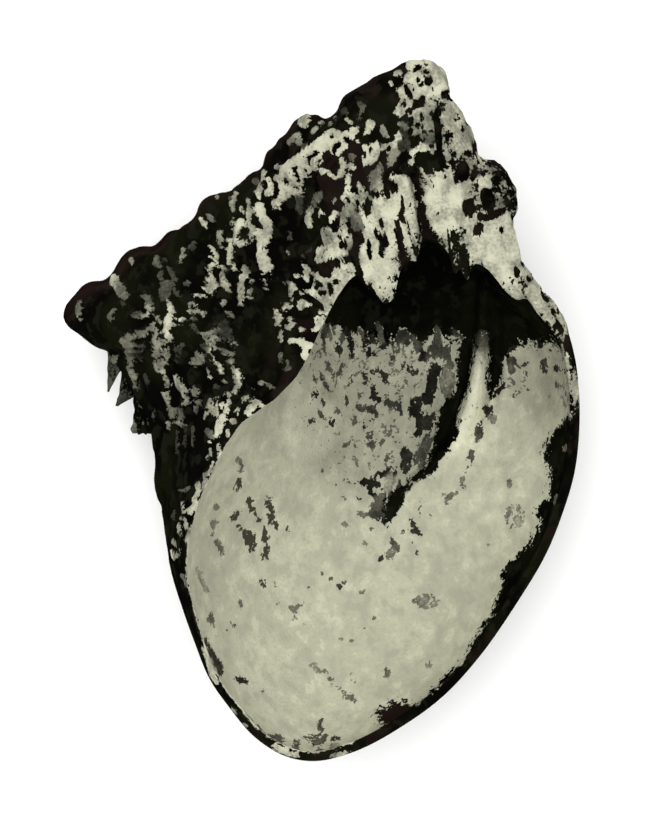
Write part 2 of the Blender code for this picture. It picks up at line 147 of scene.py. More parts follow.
def closed_curve(points, at):
    """Cubic pieces through the closed row of points, at places given in rows. Each point's slope is
    that of the parabola through it and its two neighbours."""
    count = len(points)
    before = np.roll(points, 1, axis=0)
    after = np.roll(points, -1, axis=0)
    reach_in = np.sqrt(np.linalg.norm(points - before, axis=1))[:, None]
    reach_out = np.sqrt(np.linalg.norm(after - points, axis=1))[:, None]
    speed_in = (points - before) / reach_in
    speed_out = (after - points) / reach_out
    slope = (speed_in * reach_out + speed_out * reach_in) / (reach_in + reach_out)
    row = np.floor(at).astype(int)
    t = (at - row)[:, None]
    row = row % count
    following = (row + 1) % count
    span = reach_out[row]
    return (
        (2 * t**3 - 3 * t**2 + 1) * points[row]
        + (t**3 - 2 * t**2 + t) * span * slope[row]
        + (-2 * t**3 + 3 * t**2) * points[following]
        + (t**3 - t**2) * span * slope[following]
    )


def rim_height(x, y):
    """The height of the sloping plane that the rim lies near: highest at the left and at the hinge."""
    return RIM_HEIGHT + RIM_SLOPE[0] * (x - RIM_CENTRE[0]) + RIM_SLOPE[1] * (y - RIM_CENTRE[1])


def net_rows():
    """All the rows, with the rim of each margin row set one lip's thickness inside the outline."""
    edge = np.array([HINGE_RIGHT[-1][2:]] + MARGIN + [LEFT[0][2:]], dtype=float)
    along = edge[2:, :2] - edge[:-2, :2]
    inward = np.column_stack([along[:, 1], -along[:, 0]]) / np.linalg.norm(along, axis=1)[:, None]
    rim = edge[1:-1, :2] + LIP * inward
    height = rim_height(rim[:, 0], rim[:, 1]) - edge[1:-1, 2]
    return np.vstack([HINGE_RIGHT, np.column_stack([rim, edge[1:-1, :2], height]), LEFT])


def net_lines(count):
    """The rim points, the outline points and the row numbers of the lines, which stand closer where
    the outer face shows. Row numbers are counted from the cleft, up to the right of it."""
    table = net_rows()
    fine = np.linspace(0.0, len(table), 40 * len(table), endpoint=False)
    both = closed_curve(table, fine)
    step = np.roll(both, -1, axis=0) - both
    row = (fine + len(table) / 2) % len(table) - len(table) / 2
    closer = 1.0 + 1.1 * smooth(-39, -35, row) * smooth(18, 14, row)
    cost = np.linalg.norm(step[:, :2], axis=1) * closer
    cost += 0.9 * np.linalg.norm(step[:, 2:4], axis=1) * closer
    so_far = np.concatenate([[0.0], np.cumsum(cost)])
    wanted = np.linspace(0.0, so_far[-1], count, endpoint=False)
    at = np.interp(wanted, so_far, np.append(fine, len(table)))
    both = closed_curve(table, at)
    rim = np.column_stack([both[:, :2], rim_height(both[:, 0], both[:, 1])])
    return rim, both[:, 2:5], (at + len(table) / 2) % len(table) - len(table) / 2


rim, outline, from_cleft = net_lines(LINES)
gap = np.linalg.norm(outline[:, :2] - rim[:, :2], axis=1)

# The bowl: a smooth worn hollow, deepest right of its middle, that goes in under the hinge plate.
# A ridge curves down it, widens and sinks into the floor. On its left is a steep-sided pit, on its
# right a groove. The hollow's bearings are in degrees, clockwise from the beak's direction.
BOWL_LOW = np.array((12.4, -19.4, 10.0))
BOWL_POWER = 1.9
HOLLOW_POWER = 4.0
HOLLOW_REACH = 9.0
HOLLOW_LEFT = (-62.0, -8.0)
HOLLOW_RIGHT = (78.0, 20.0)
RIDGE_Y = (-24.0, -19.4, -17.0, -13.5, -8.7, -4.1, 1.0, 6.7, 13.9, 19.0)
RIDGE_X = (9.0, 12.4, 15.2, 18.6, 22.4, 25.0, 26.7, 27.7, 28.3, 28.4)
RIDGE_HALF = (3.0, 3.0, 3.0, 2.8, 2.2, 1.9, 1.7, 1.4, 1.1, 1.0)
RIDGE_RISE = (0.0, 0.1, 0.4, 0.8, 1.3, 1.6, 1.8, 1.8, 1.8, 1.6)
PIT_DEPTH = (0.0, 0.4, 1.2, 2.6, 4.2, 5.0, 5.4, 5.2, 4.6, 3.0)
RIDGE_BEARING = 20.0
KNOB = (12.4, -12.6)
KNOB_RADIUS = 1.3


def without_teeth(rim, from_cleft):
    """The rim with its teeth and cleft evened out along the hinge, by averaging neighbours over and
    over."""
    even = rim.copy()
    share = 0.5 * (smooth(-22.0, -12.0, from_cleft) * smooth(16.0, 11.0, from_cleft))[:, None]
    for _ in range(round((len(rim) / 16) ** 2)):
        even += share * (0.5 * (np.roll(even, 1, axis=0) + np.roll(even, -1, axis=0)) - even)
    return even


def ridge_side(x, y):
    """How far a place lies to the right of the ridge's crest, square to it."""
    crest = np.interp(y, RIDGE_Y, RIDGE_X)
    ahead = np.interp(y + 1.0, RIDGE_Y, RIDGE_X)
    return (x - crest) / np.hypot(1.0, ahead - crest)


def bowl_relief(x, y):
    """The ridge with the steep-sided pit on its left and the groove on its right, and a small knob."""
    side = ridge_side(x, y)
    half = np.interp(y, RIDGE_Y, RIDGE_HALF)
    ridge = np.interp(y, RIDGE_Y, RIDGE_RISE) * hill(side, 0.0, half)
    breadth = np.interp(y, (-18.0, 0.0, 15.0), (3.0, 5.0, 9.0))
    beyond_wall = np.maximum(-side - half - 0.9, 0.0)
    pit = -np.interp(y, RIDGE_Y, PIT_DEPTH) * smooth(0.6, 1.6, -side / half)
    pit *= np.exp(-((beyond_wall / breadth) ** 1.5))
    groove = -2.2 * hill(side, half + 1.6, 1.2) * smooth(-4.0, 6.0, y)
    knob = 1.2 * hill(np.hypot(x - KNOB[0], y - KNOB[1]), 0.0, 1.6)
    return (ridge + pit + groove) * smooth(24.0, 19.0, y) + knob


def bowl_skin(turn):
    """The inner wall, for turns from 0 at the low point to 1 at the rim, down the first axis, and the
    lines along the second. Each line's section is a quarter of a superellipse, pushed outwards under
    the hinge plate, and the lines near the ridge bend to run along its crest. The climb is the turn as
    the section's height alone would give it."""
    turn = turn[:, None]
    even = without_teeth(rim, from_cleft)
    away = even[:, :2] - BOWL_LOW[:2]
    bearing = np.degrees(np.arctan2(away[:, 0], away[:, 1]))
    under_hinge = smooth(*HOLLOW_LEFT, bearing) * smooth(*HOLLOW_RIGHT, bearing)
    power = BOWL_POWER + (HOLLOW_POWER - BOWL_POWER) * under_hinge
    angle = turn * math.pi / 2
    size = (np.sin(angle) ** power + np.cos(angle) ** power) ** (1.0 / power)
    out = np.sin(angle) / size
    up = 1.0 - np.cos(angle) / size
    climb = np.arccos(np.clip((1.0 - up) ** (power / 2), 0.0, 1.0)) * 2 / math.pi
    near_rim = smooth(0.84, 1.0, climb)
    flat = BOWL_LOW[:2] + away * out[..., None] + (rim - even)[:, :2] * near_rim[..., None]
    ridge_end = np.array((RIDGE_X[-1], 24.0))
    straight = BOWL_LOW[:2] + (ridge_end - BOWL_LOW[:2]) * out[..., None]
    bend = np.interp(straight[..., 1], RIDGE_Y, RIDGE_X) - straight[..., 0]
    flat[..., 0] += bend * hill(bearing, RIDGE_BEARING, 34.0) * smooth(1.0, 0.85, out)
    free = np.linalg.norm(outline[:, :2] - even[:, :2], axis=1)
    reach = under_hinge * smooth(11.0, 3.0, from_cleft) * np.clip(0.5 * (free - 9.0), 0.0, HOLLOW_REACH)
    pocket = np.sin(math.pi * np.clip((climb - 0.5) / 0.47, 0.0, 1.0)) ** 2
    flat += (away / np.linalg.norm(away, axis=1)[:, None]) * (reach * pocket)[..., None]
    height = BOWL_LOW[2] + (even[:, 2] - BOWL_LOW[2]) * up + (rim - even)[:, 2] * near_rim
    height = height + bowl_relief(flat[..., 0], flat[..., 1]) * smooth(0.80, 0.62, climb)
    return np.concatenate([flat, height[..., None]], axis=2)


# The outer face and the convex back: coarse ribs run from the beak to the margin, ledges mark where
# growth paused, and a furrow divides the hinge area from the left flank. The two hinge teeth end in
# knuckles, given by x, y, rise and radius.
FOOT_CENTRE = (-0.5, 5.0)
FOOT_RADII = (17.0, 14.0)
FOOT_WAVE = 0.05
FURROW_Y = (0.0, 4.5, 11.3, 19.0, 27.6, 35.3, 40.0)
FURROW_X = (-12.0, -9.9, -8.1, -6.8, -4.2, -3.3, -2.5)
FURROW_DEPTH = 3.2
CLEFT_FOOT = (18.4, 29.1)
CLEFT_HEAD = (15.6, 42.0)
CLEFT_DEPTH = 2.6
RIB_HEIGHT = 0.8
RIB_COUNT = 21.0
LEDGE_HEIGHT = 0.9
LEDGE_COUNT = 4.0
LUMP_HEIGHT = 0.5
KNUCKLES = ((11.0, 20.6, 1.5, 2.0), (24.9, 24.2, 1.1, 1.5))


def upper_face(course):
    """The outer face from the rim, course 0, to the outline, course 1. It stays nearly level over the
    hinge area, and falls away from the rim at once on the left flank."""
    hinge_side = smooth(-14.0, -6.0, from_cleft) * smooth(20.0, 14.0, from_cleft)
    power = 1.3 + 1.9 * hinge_side
    out = np.sin(np.clip(course, 0.0, 1.0) * math.pi / 2) ** (2.0 / power)
    down = 1.0 - np.maximum(1.0 - out**power, 0.0) ** (1.0 / power)
    flat = rim[:, :2] + (outline[:, :2] - rim[:, :2]) * out[..., None]
    level = rim_height(flat[..., 0], flat[..., 1]) * hinge_side + rim[:, 2] * (1.0 - hinge_side)
    end = rim_height(outline[:, 0], outline[:, 1]) * hinge_side + rim[:, 2] * (1.0 - hinge_side)
    height = level + (outline[:, 2] - end) * down
    return np.concatenate([flat, height[..., None]], axis=2)


def under_face(course):
    """The convex back from the outline, course 1, to the edge of the flat spot, course 2."""
    away = outline[:, :2] - np.array(FOOT_CENTRE)
    turn = np.arctan2(away[:, 1], away[:, 0])
    wave = 1.0 + FOOT_WAVE * np.sin(3 * turn + 0.6) + 0.5 * FOOT_WAVE * np.sin(5 * turn)
    foot = np.column_stack([np.cos(turn), np.sin(turn)]) * FOOT_RADII * wave[:, None] + FOOT_CENTRE
    power = 1.8 - 0.3 * smooth(-16.0, -6.0, from_cleft) * smooth(16.0, 6.0, from_cleft)
    angle = np.clip(course - 1.0, 0.0, 1.0) * math.pi / 2
    out = np.maximum(np.cos(angle), 0.0) ** (2.0 / power)
    height = outline[:, 2] * (1.0 - np.sin(angle) ** (2.0 / power))
    flat = foot + (outline[:, :2] - foot) * out[..., None]
    return np.concatenate([flat, height[..., None]], axis=2)


def outer_relief(points, course):
    """How far the outer skin stands out: ribs, ledges, the furrow, the cleft, and low lumps."""
    x, y, z = points[..., 0], points[..., 1], points[..., 2]
    round_axis = np.arctan2(z - 25.0, x)
    on_hinge = smooth(-9.0, -3.0, from_cleft) * smooth(17.0, 13.0, from_cleft) * smooth(1.1, 0.85, course)
    ribs = RIB_HEIGHT * np.sin(round_axis * RIB_COUNT + 0.4 * np.sin(y * 0.21))
    ribs *= smooth(8.0, 22.0, np.hypot(x, z - 25.0))
    ledge = (course * LEDGE_COUNT + 0.05 * np.sin(from_cleft * 0.4)) % 1.0
    ledges = LEDGE_HEIGHT * (smooth(0.0, 0.6, ledge) - smooth(0.6, 1.0, ledge)) - 0.4
    lumps = np.sin(x * 0.42 + 1.0) * np.sin(y * 0.37) + 0.5 * np.sin(x * 0.7 + y * 0.8)
    apart = x - np.interp(y, FURROW_Y, FURROW_X)
    furrow = -FURROW_DEPTH * hill(apart, 0.0, 3.6) * smooth(-2.0, 5.0, y) * smooth(44.0, 34.0, y)
    cleft_x = np.interp(y, (CLEFT_FOOT[1], CLEFT_HEAD[1]), (CLEFT_FOOT[0], CLEFT_HEAD[0]))
    cleft = -CLEFT_DEPTH * hill(x - cleft_x, 0.0, 0.9)
    cleft *= smooth(CLEFT_HEAD[1], 38.0, y) * smooth(26.0, 28.5, y)
    from_rim = gap * np.minimum(course, 1.0) + 40.0 * np.maximum(course - 1.0, 0.0)
    thin = smooth(9.0, 4.0, gap) * smooth(0.0, 1.0, from_rim)
    cover = smooth(0.5, 1.0, from_rim / (7.0 + 12.0 * thin)) * smooth(1.9, 1.65, course)
    cover = cover * (1.0 - 0.8 * hill(course, 1.0, 0.07))
    coat = ribs * (1.0 - on_hinge) + ledges * (1.0 - 0.8 * on_hinge) + LUMP_HEIGHT * lumps
    return coat * cover + (furrow * smooth(1.0, 6.0, from_rim) + cleft) * smooth(1.0, 0.8, course)


def teeth(points):
    """The knuckles of the two hinge teeth, raised over the rim."""
    x, y = points[..., 0], points[..., 1]
    return sum(rise * hill(np.hypot(x - at_x, y - at_y), 0.0, radius)
               for at_x, at_y, rise, radius in KNUCKLES)


def outward(grid):
    """The unit normal at each point of a grid whose first axis is the course, its second the line."""
    along = np.gradient(grid, axis=0)
    around = np.roll(grid, -1, axis=1) - np.roll(grid, 1, axis=1)
    normal = np.cross(around, along)
    return normal / np.maximum(np.linalg.norm(normal, axis=2, keepdims=True), 1e-9)


# Fine sculpture and stains. The worn outer surface is a net of raised scraps and sunken pits, long on
# the left flank and short on the hinge area. What lies low is painted near black, for the dark matrix
# still in it and for the shade that falls there.
#
# Each of the stains and painted shades has a measure that is above nought where it lies, and SURE is
# beyond what a noise can change. A stroke's measure grows by STROKE_EDGE for each millimetre inside it,
# to STROKE_MOST at most, and its shade holds as far as SHADE_REACH outside it.
SURE = 4.0
STROKE_EDGE = 4.5
STROKE_MOST = 1.3
SHADE_REACH = 0.35


def scatter(low, high, cell, seed):
    """Places for small forms: one in each cell of a grid over the box from low to high, moved at random
    inside its cell."""
    rng = np.random.default_rng(seed)
    columns, rows = int((high[0] - low[0]) / cell[0]), int((high[1] - low[1]) / cell[1])
    grid = np.stack(np.meshgrid(np.arange(columns), np.arange(rows)), axis=-1).reshape(-1, 2)
    grid = grid + rng.uniform(0.0, 1.0, grid.shape) + 0.5 * (grid[:, 1:] % 2) * np.array((1.0, 0.0))
    return np.array(low) + grid * np.array(cell), rng


def marks(points, places, across, along, lean):
    """The strongest of many small bells at each point. Each bell is across by along in size, and its
    long way leans by the given slope, in x per y. The bells are taken in batches."""
    x, y = points[:, 0].astype(np.float32), points[:, 1].astype(np.float32)
    best = np.zeros(len(x), dtype=np.float32)
    order = np.argsort(y)
    sorted_y = y[order]
    for first in range(0, len(places), 40):
        batch = places[first : first + 40].astype(np.float32)
        tilt = lean[first : first + 40].astype(np.float32)
        wide = across[first : first + 40].astype(np.float32)
        tall = along[first : first + 40].astype(np.float32)
        begin = np.searchsorted(sorted_y, batch[:, 1].min() - 3 * tall.max())
        end = np.searchsorted(sorted_y, batch[:, 1].max() + 3 * tall.max())
        some = order[begin:end]
        dy = y[some][:, None] - batch[:, 1]
        dx = x[some][:, None] - batch[:, 0] - dy * tilt
        bells = np.exp(-((dx / wide) ** 2) - (dy / tall) ** 2)
        best[some] = np.maximum(best[some], bells.max(axis=1))
    return best


def value_noise(points, size, seed):
    """Random numbers from 0 to 1 on a lattice with the given cell size, blended smoothly between its
    corners, at each point."""
    rng = np.random.default_rng(seed)
    table = rng.uniform(0.0, 1.0, 4096)
    shuffle = rng.permutation(4096)
    scaled = points / size + 1000.0
    cell = np.floor(scaled).astype(int)
    t = scaled - cell
    t = t * t * (3.0 - 2.0 * t)
    total = np.zeros(len(points))
    for corner in range(8):
        step = np.array([(corner >> i) & 1 for i in range(3)])
        place = cell + step
        key = shuffle[(place[:, 0]) % 4096]
        key = shuffle[(key + place[:, 1]) % 4096]
        key = shuffle[(key + place[:, 2]) % 4096]
        weight = np.prod(np.where(step == 1, t, 1.0 - t), axis=1)
        total += weight * table[key]
    return total


def standard(values):
    """The values less their mean, in units of their spread."""
    return (values - values.mean()) / values.std()


def odds(share):
    """A share between 0 and 1 as a place on a bell curve: 0 for a half, about 2.3 for 0.98."""
    share = np.clip(share, 0.002, 0.998)
    return np.log(share / (1.0 - share)) / 1.7


def patches(x, y, start, rows):
    """A value that starts as given and is drawn in turn towards each row's own value inside its soft
    ellipse. In each row: middle x and y, half width and height, turn in degrees, value."""
    value = np.array(np.broadcast_to(start, x.shape), dtype=float)
    for middle_x, middle_y, half_x, half_y, turn, wanted in rows:
        c, s = math.cos(math.radians(turn)), math.sin(math.radians(turn))
        u = ((x - middle_x) * c + (y - middle_y) * s) / half_x
        v = (-(x - middle_x) * s + (y - middle_y) * c) / half_y
        share = smooth(1.3, 0.7, np.hypot(u, v))
        value += share * (wanted - value)
    return value


def strokes(x, y, rows):
    """How far each place lies inside the strokes, and the shade of the last stroke that covers it, or
    else of the nearest. A row holds the shade, then x, y and half width again and again: a line through
    these places that is as wide at each as given there."""
    inside = np.full(len(x), -9.0)
    shade = np.full(len(x), float(rows[0][0]))
    for row in rows:
        spots = np.array(row[1:]).reshape(-1, 3)
        ends = np.vstack([spots[1:], spots[-1:]])
        reach = spots[:, 2].max() + 0.8
        low, high = spots[:, :2].min(axis=0) - reach, spots[:, :2].max(axis=0) + reach
        near = np.flatnonzero((x > low[0]) & (x < high[0]) & (y > low[1]) & (y < high[1]))
        dx, dy = x[near][:, None] - spots[:, 0], y[near][:, None] - spots[:, 1]
        run = ends - spots
        length = np.maximum(run[:, 0] ** 2 + run[:, 1] ** 2, 1e-9)
        t = np.clip((dx * run[:, 0] + dy * run[:, 1]) / length, 0.0, 1.0)
        depth = (spots[:, 2] + t * run[:, 2] - np.hypot(dx - t * run[:, 0], dy - t * run[:, 1])).max(axis=1)
        shade[near] = np.where((depth > 0.0) | (depth > inside[near]), row[0], shade[near])
        inside[near] = np.maximum(inside[near], depth)
    return inside, shade


def inside_strokes(x, y, rows):
    """How far each place lies inside strokes that have no shade of their own."""
    return strokes(x, y, [(0.0, *row) for row in rows])[0]


# The scraps of pale shell that stand out of the dark matrix and painted shade on the left flank, and
# then on the hinge area as far as the cleft. The shade runs from 0 for clean shell to 1 for shell that is
# nearly black; on the steep flank it takes in painted shade as well.
FLANK_SCRAPS = [
    (0, -10.3, 34.7, 1.03, -10, 33.3, 0.69, -8.7, 31.8, 0.87, -8.7, 29.8, 0.73, -9.6, 28, 0.69, -9.8,
     26.6, 0.96, -9.3, 25, 1.15, -8.7, 23.9, 0.92, -9.5, 22.5, 0.32),
    (0, -13.5, 32.1, 0.83, -14.2, 30.3, 0.5, -14.3, 28.9, 0.46, -13.4, 28.1, 0.37, -12.4, 28.8, 0.46),
    (0.28, -12, 32, 0.5, -11.3, 30.5, 0.55, -11.8, 29.4, 0.46),
    (0, -10.2, 30.5, 0.6, -10, 29, 0.6, -10.2, 27.8, 0.46),
    (0.34, -17, 30.6, 0.55, -17.1, 29.2, 0.55, -16.7, 28, 0.32),
    (0.02, -18.7, 28.1, 0.28, -17.9, 27.5, 0.37, -17.6, 26.3, 0.46, -17.7, 24.8, 0.18),
    (0.02, -15.5, 29.4, 0.23, -15.1, 28, 0.46, -15.4, 26.4, 0.46, -15.5, 25.3, 0.32),
    (0.02, -15, 28.4, 0.32, -14.1, 28.6, 0.32),
    (0, -18.7, 26.9, 0.18, -18.6, 25, 0.37, -18.8, 23.2, 0.6, -18.3, 21.5, 0.92, -18.6, 20.2, 0.41),
    (0.02, -19.7, 20.9, 0.18, -18.9, 20.5, 0.28),
    (0.17, -17, 24.9, 0.28, -16.2, 24.3, 0.32, -16.7, 23.2, 0.32, -16.3, 21.7, 0.6, -15.6, 20.8,
     0.46, -15.2, 21.7, 0.23),
    (0.07, -14.6, 25.1, 0.32, -14.5, 24.3, 0.5),
    (0.19, -12.8, 24.6, 0.37, -12.4, 23.6, 0.6, -13.3, 22, 0.64, -13.3, 20.4, 0.6, -13.2, 18.8, 0.55,
     -13.4, 17.6, 0.18),
    (0.4, -11.2, 22, 0.32, -11.7, 20.5, 0.41, -11.6, 19.1, 0.41), (0.4, -8.9, 21.2, 0.32, -8.9, 20.7, 0.32),
    (0.55, -7.4, 22.8, 0.32), (0.19, -16.3, 18.5, 0.5, -16.4, 17.8, 0.5), (0.12, -19.6, 19.5, 0.5),
    (0.34, -20.5, 16.9, 0.46, -19.6, 16.5, 0.41),
    (0.09, -20.5, 33, 0.28, -19.9, 32.3, 0.37, -19.6, 31.6, 0.28),
    (0.55, -19.1, 33.5, 0.46, -18.3, 32.6, 0.37), (0.4, -17.6, 36.8, 0.32),
    (0.4, -14.4, 37.3, 0.41, -15, 35.6, 0.6, -14.7, 34.4, 0.32), (1.04, -15.3, 36.5, 0.46),
    (0.09, -13.4, 34.9, 0.32, -13.4, 34.2, 0.32),
    (0.19, -12.4, 36.2, 0.28, -12, 34.9, 0.37, -12.1, 33.4, 0.64, -11.2, 34, 0.32),
    (0.28, -14.7, 32.8, 0.23, -15.6, 31.9, 0.32, -15.9, 31.2, 0.18),
    (0.02, -10.9, 37.6, 0.32, -10.4, 36.7, 0.28), (0, -8.7, 37.4, 0.73),
    (0.22, -6.5, 36.4, 0.78, -7.5, 35.9, 0.28, -7.1, 34.9, 0.41, -7.7, 34.2, 0.23),
    (0.86, -5.1, 30.5, 0.32, -5.2, 29.5, 0.32), (0.28, -5.4, 27.3, 0.23, -5.3, 26.6, 0.28),
    (0.71, -6.5, 26.5, 0.21), (0.67, -6.7, 9.3, 0.37, -6.6, 8.3, 0.28),
    (0.71, -5.4, 8.5, 0.23, -5.2, 7.4, 0.32, -6.1, 7, 0.23),
    (0.44, -17.5, 14.7, 0.46, -18.3, 13.3, 0.69, -18.1, 12.2, 0.92, -18.8, 11.5, 0.46),
    (1.18, -16.4, 14.9, 0.92, -15.7, 13.1, 0.92),
    (0.19, -18.8, 10.4, 0.5, -18, 9, 0.41, -17.2, 7.8, 0.46, -16.4, 7.2, 0.6),
    (0.34, -18.9, 6.7, 0.32, -18.6, 5.7, 0.41),
    (0.28, -14.8, 11.9, 0.5, -14.4, 11, 0.46, -15.1, 10.1, 0.32, -14.9, 8.5, 0.5, -14.7, 7, 0.37,
     -13.9, 6.4, 0.6),
    (0.55, -16.4, 11.3, 0.28, -16.4, 10, 0.32), (0.28, -17.8, 10.7, 0.32),
    (0.55, -21.1, 10.1, 0.32, -20.5, 8.8, 1.01, -21.7, 8.3, 0.46), (0.81, -21.2, 7.4, 0.28),
    (0.4, -19.9, 13.5, 0.23, -19.8, 12.6, 0.28),
    (0.59, -14.9, 17.3, 0.32, -15, 16.3, 0.46, -15.7, 16.8, 0.28),
    (0.92, -21.2, 15.8, 0.32, -21.4, 14.2, 0.32, -20.7, 13.5, 0.28),
    (1.04, -23.3, 11.3, 0.37, -24.6, 10.1, 0.46, -24.1, 8.3, 0.32), (1.11, -19.8, 11, 0.55),
    (0.86, -22.6, 21.8, 0.6), (1.04, -31.1, 9.6, 0.32, -30.8, 8.7, 0.23),
    (1.04, -29.9, 6.2, 0.32, -29.7, 4.8, 0.23),
    (0.59, -41.6, 18.8, 0.4, -41.7, 17.6, 0.67, -41.8, 16.5, 0.46, -41.4, 15.7, 0.24),
    (0.07, -35.6, 23.2, 0.55, -35.9, 22, 0.46), (0.28, -34.7, 21.5, 0.92),
    (0.55, -34.1, 20.5, 0.92, -33.5, 19.7, 0.77), (0.98, -33.8, 18.6, 0.46),
    (0.37, -32.5, 26.1, 0.46, -32.3, 25.4, 0.31),
    (0.81, -28, 26.4, 0.52, -28.1, 25.4, 0.61, -27.3, 24.9, 0.4), (0.98, -26.5, 26, 0.4),
    (0.34, -23.4, 27.7, 0.4, -23.5, 26.6, 0.52, -24, 25.7, 0.37),
    (0.92, -22, 28.1, 0.61, -21.4, 28.9, 0.31), (0.92, -27.2, 23.5, 0.52, -27.6, 23.1, 0.37),
    (0.9, -25.8, 24.4, 0.31, -25.2, 23.4, 0.43, -24.9, 22.5, 0.31, -25.2, 21.2, 0.31, -24.4, 20, 0.46),
    (0.86, -26.4, 21.8, 0.77, -26.4, 20.3, 0.92, -26.6, 19.4, 0.77),
    (0.76, -29.8, 20.5, 0.31, -30.2, 19.7, 0.46), (0.63, -29.2, 19.4, 0.61, -29.2, 18.2, 0.77),
    (0.34, -29.2, 17.6, 0.7, -29.3, 16.8, 0.61, -29.8, 15.9, 0.46, -30.4, 15.3, 0.21),
    (0.71, -35.3, 17.3, 0.4, -36, 16.2, 0.52, -35.8, 15.6, 0.37),
    (0.92, -31.2, 16.8, 0.61, -31.9, 16.3, 0.31),
    (0, -25.8, 18.5, 0.46, -25.5, 18, 0.46, -25.3, 16.8, 0.7, -25.8, 15.6, 0.67, -26.3, 14.5, 0.46,
     -26.3, 13.9, 0.52, -26.1, 12.7, 0.4),
    (0.07, -23.4, 15.9, 0.55, -23.7, 15, 0.31),
    (0.19, -22.4, 19.1, 0.31, -22.4, 17.9, 0.31, -22.1, 16.8, 0.55),
    (0.12, -20.9, 19.7, 0.37, -21.2, 18.3, 0.31), (0.4, -28, 16.2, 0.37, -27.5, 15.3, 0.31),
    (0.4, -28.4, 15, 0.46, -29.6, 13.4, 0.77, -30.7, 12.7, 0.31),
    (0.55, -31.3, 13.7, 0.37, -31.6, 12.8, 0.46, -32.8, 12, 0.77, -33.8, 11.9, 0.52),
    (0.63, -32.4, 11.1, 0.31, -32.5, 9.6, 0.46, -32.4, 8.4, 0.46, -32.8, 7.3, 0.4),
    (0.49, -27.6, 13.4, 0.31, -28, 11.9, 0.55, -28, 10.4, 0.55, -27.8, 8.8, 0.55, -27.5, 7.5, 0.52),
    (0.28, -24.7, 14.6, 0.31, -25.3, 13.1, 0.31, -25.2, 11.7, 0.37),
    (0.28, -26.4, 11.9, 0.31, -26.4, 10.7, 0.31, -26.1, 9.3, 0.31, -26.1, 8.4, 0.31),
    (0.86, -24.6, 10.4, 0.52, -24.4, 9.3, 0.31), (0.59, -35.4, 9.3, 0.55, -35.9, 8.5, 0.52),
    (1.11, -30.2, 11.4, 0.37, -31.2, 9.8, 0.4), (0.86, -32, 6, 0.58, -31.8, 5, 0.42, -31.7, 3.9, 0.37),
    (1.04, -29.8, 6, 0.42, -29.5, 5, 0.29),
    (0.47, -26.8, 6.2, 0.5, -26.4, 4.7, 0.42, -26, 2.9, 0.37, -25.9, 1.2, 0.5, -25.6, -0.2, 0.54,
     -25.2, -0.9, 0.5),
    (0.51, -24.9, 0.4, 0.29, -24.7, -0.4, 0.33),
    (0.28, -24.7, 5.8, 0.42, -23.9, 4.5, 0.83, -23.2, 3.7, 0.71, -23.2, 2.6, 0.37),
    (0.4, -22.5, 1.8, 0.62, -23.2, 1.1, 0.42), (0.37, -21.3, 3.6, 0.54, -21.2, 3, 0.62),
    (0.55, -20.6, 1.5, 0.5), (0.71, -21.2, 0.6, 0.33, -21.2, -0.2, 0.17),
    (0.67, -23.9, 0.4, 0.42, -23.6, -1.1, 0.37, -24.1, -1.3, 0.21),
    (0.28, -26, -2.1, 0.46, -25.9, -3, 0.29), (0.55, -25, -1.9, 0.29, -23.7, -2.1, 0.33, -23.4, -2.5, 0.29),
    (1.04, -24.4, -3.4, 0.25, -24.4, -7.3, 0.21), (1.11, -23, -2.9, 0.21, -23.1, -5.8, 0.19),
    (1.04, -21.6, -2.7, 0.21, -21.6, -5.8, 0.19), (0.19, -18.6, 6.8, 0.29, -18.5, 5.6, 0.33),
    (0.07, -16.4, 6.8, 0.54),
    (0.19, -13.7, 6.8, 0.42, -13.8, 5.8, 0.75, -13.7, 4.5, 0.54, -14.5, 3.3, 0.42, -15.6, 2.8, 0.46),
    (0.31, -16.3, 5.1, 0.29, -15.6, 5, 0.29), (1.04, -17.5, 4.1, 0.5),
    (0.14, -10, 5.4, 0.29, -9.7, 4.5, 0.37), (0.44, -8.6, 4.5, 0.29, -7.8, 4, 0.29),
    (0.55, -11.3, 3.8, 0.25), (0.19, -12.7, 2, 0.58, -11.5, 2.6, 0.29),
    (0.07, -16.8, 2.3, 0.37, -16.9, 1.3, 0.46, -17.5, 0.6, 0.42, -17.7, -0.4, 0.54),
    (0.07, -15.4, 2, 0.29, -15.6, 0.8, 0.58, -15.9, -0.1, 0.5),
    (0.22, -18.5, 1.8, 0.46, -18.6, 1, 0.42, -19.2, 0.6, 0.25),
    (0.28, -19.5, 0.3, 0.25, -19.4, -0.7, 0.37, -19.4, -1.3, 0.21),
    (0, -16.4, -1.1, 0.71, -16.9, -2.1, 0.71, -17.1, -3, 0.62, -17.3, -4.3, 0.33),
    (0.67, -19, -3.4, 0.54, -18.4, -4.2, 0.62), (0.17, -18.7, -5.2, 0.29),
    (0.19, -13.8, 0.4, 0.33, -14.1, -0.2, 0.33), (0.28, -14.7, -1.7, 0.54),
    (0.19, -15.5, -3.4, 0.29, -15.4, -4.2, 0.29),
    (0.22, -17.1, -5.8, 0.33, -16.9, -7.3, 0.46, -16.8, -7.7, 0.37),
    (0.19, -18.4, -6.5, 0.33, -18.4, -7.2, 0.25, -19, -7.9, 0.33),
    (0.09, -17.9, -8.8, 0.29, -18.4, -9.6, 0.29, -18.6, -10.6, 0.25),
    (0.28, -19.5, -10.6, 0.33, -19.3, -11.7, 0.42, -19.7, -12.9, 0.21),
    (0.07, -20.6, -12.6, 0.5, -20.4, -13.5, 0.37, -21.2, -14.8, 0.5, -21, -15.8, 0.54, -21.9, -17.1,
     0.5),
    (0.19, -23.4, -15.6, 0.25, -23.2, -16.4, 0.33, -23.1, -17.3, 0.29),
    (0.25, -23.3, -18.3, 0.46, -23.9, -19.8, 0.46, -23.9, -21, 0.29),
    (0.25, -23.3, -18.3, 0.46, -22.7, -19.3, 0.42, -21.9, -20.2, 0.33),
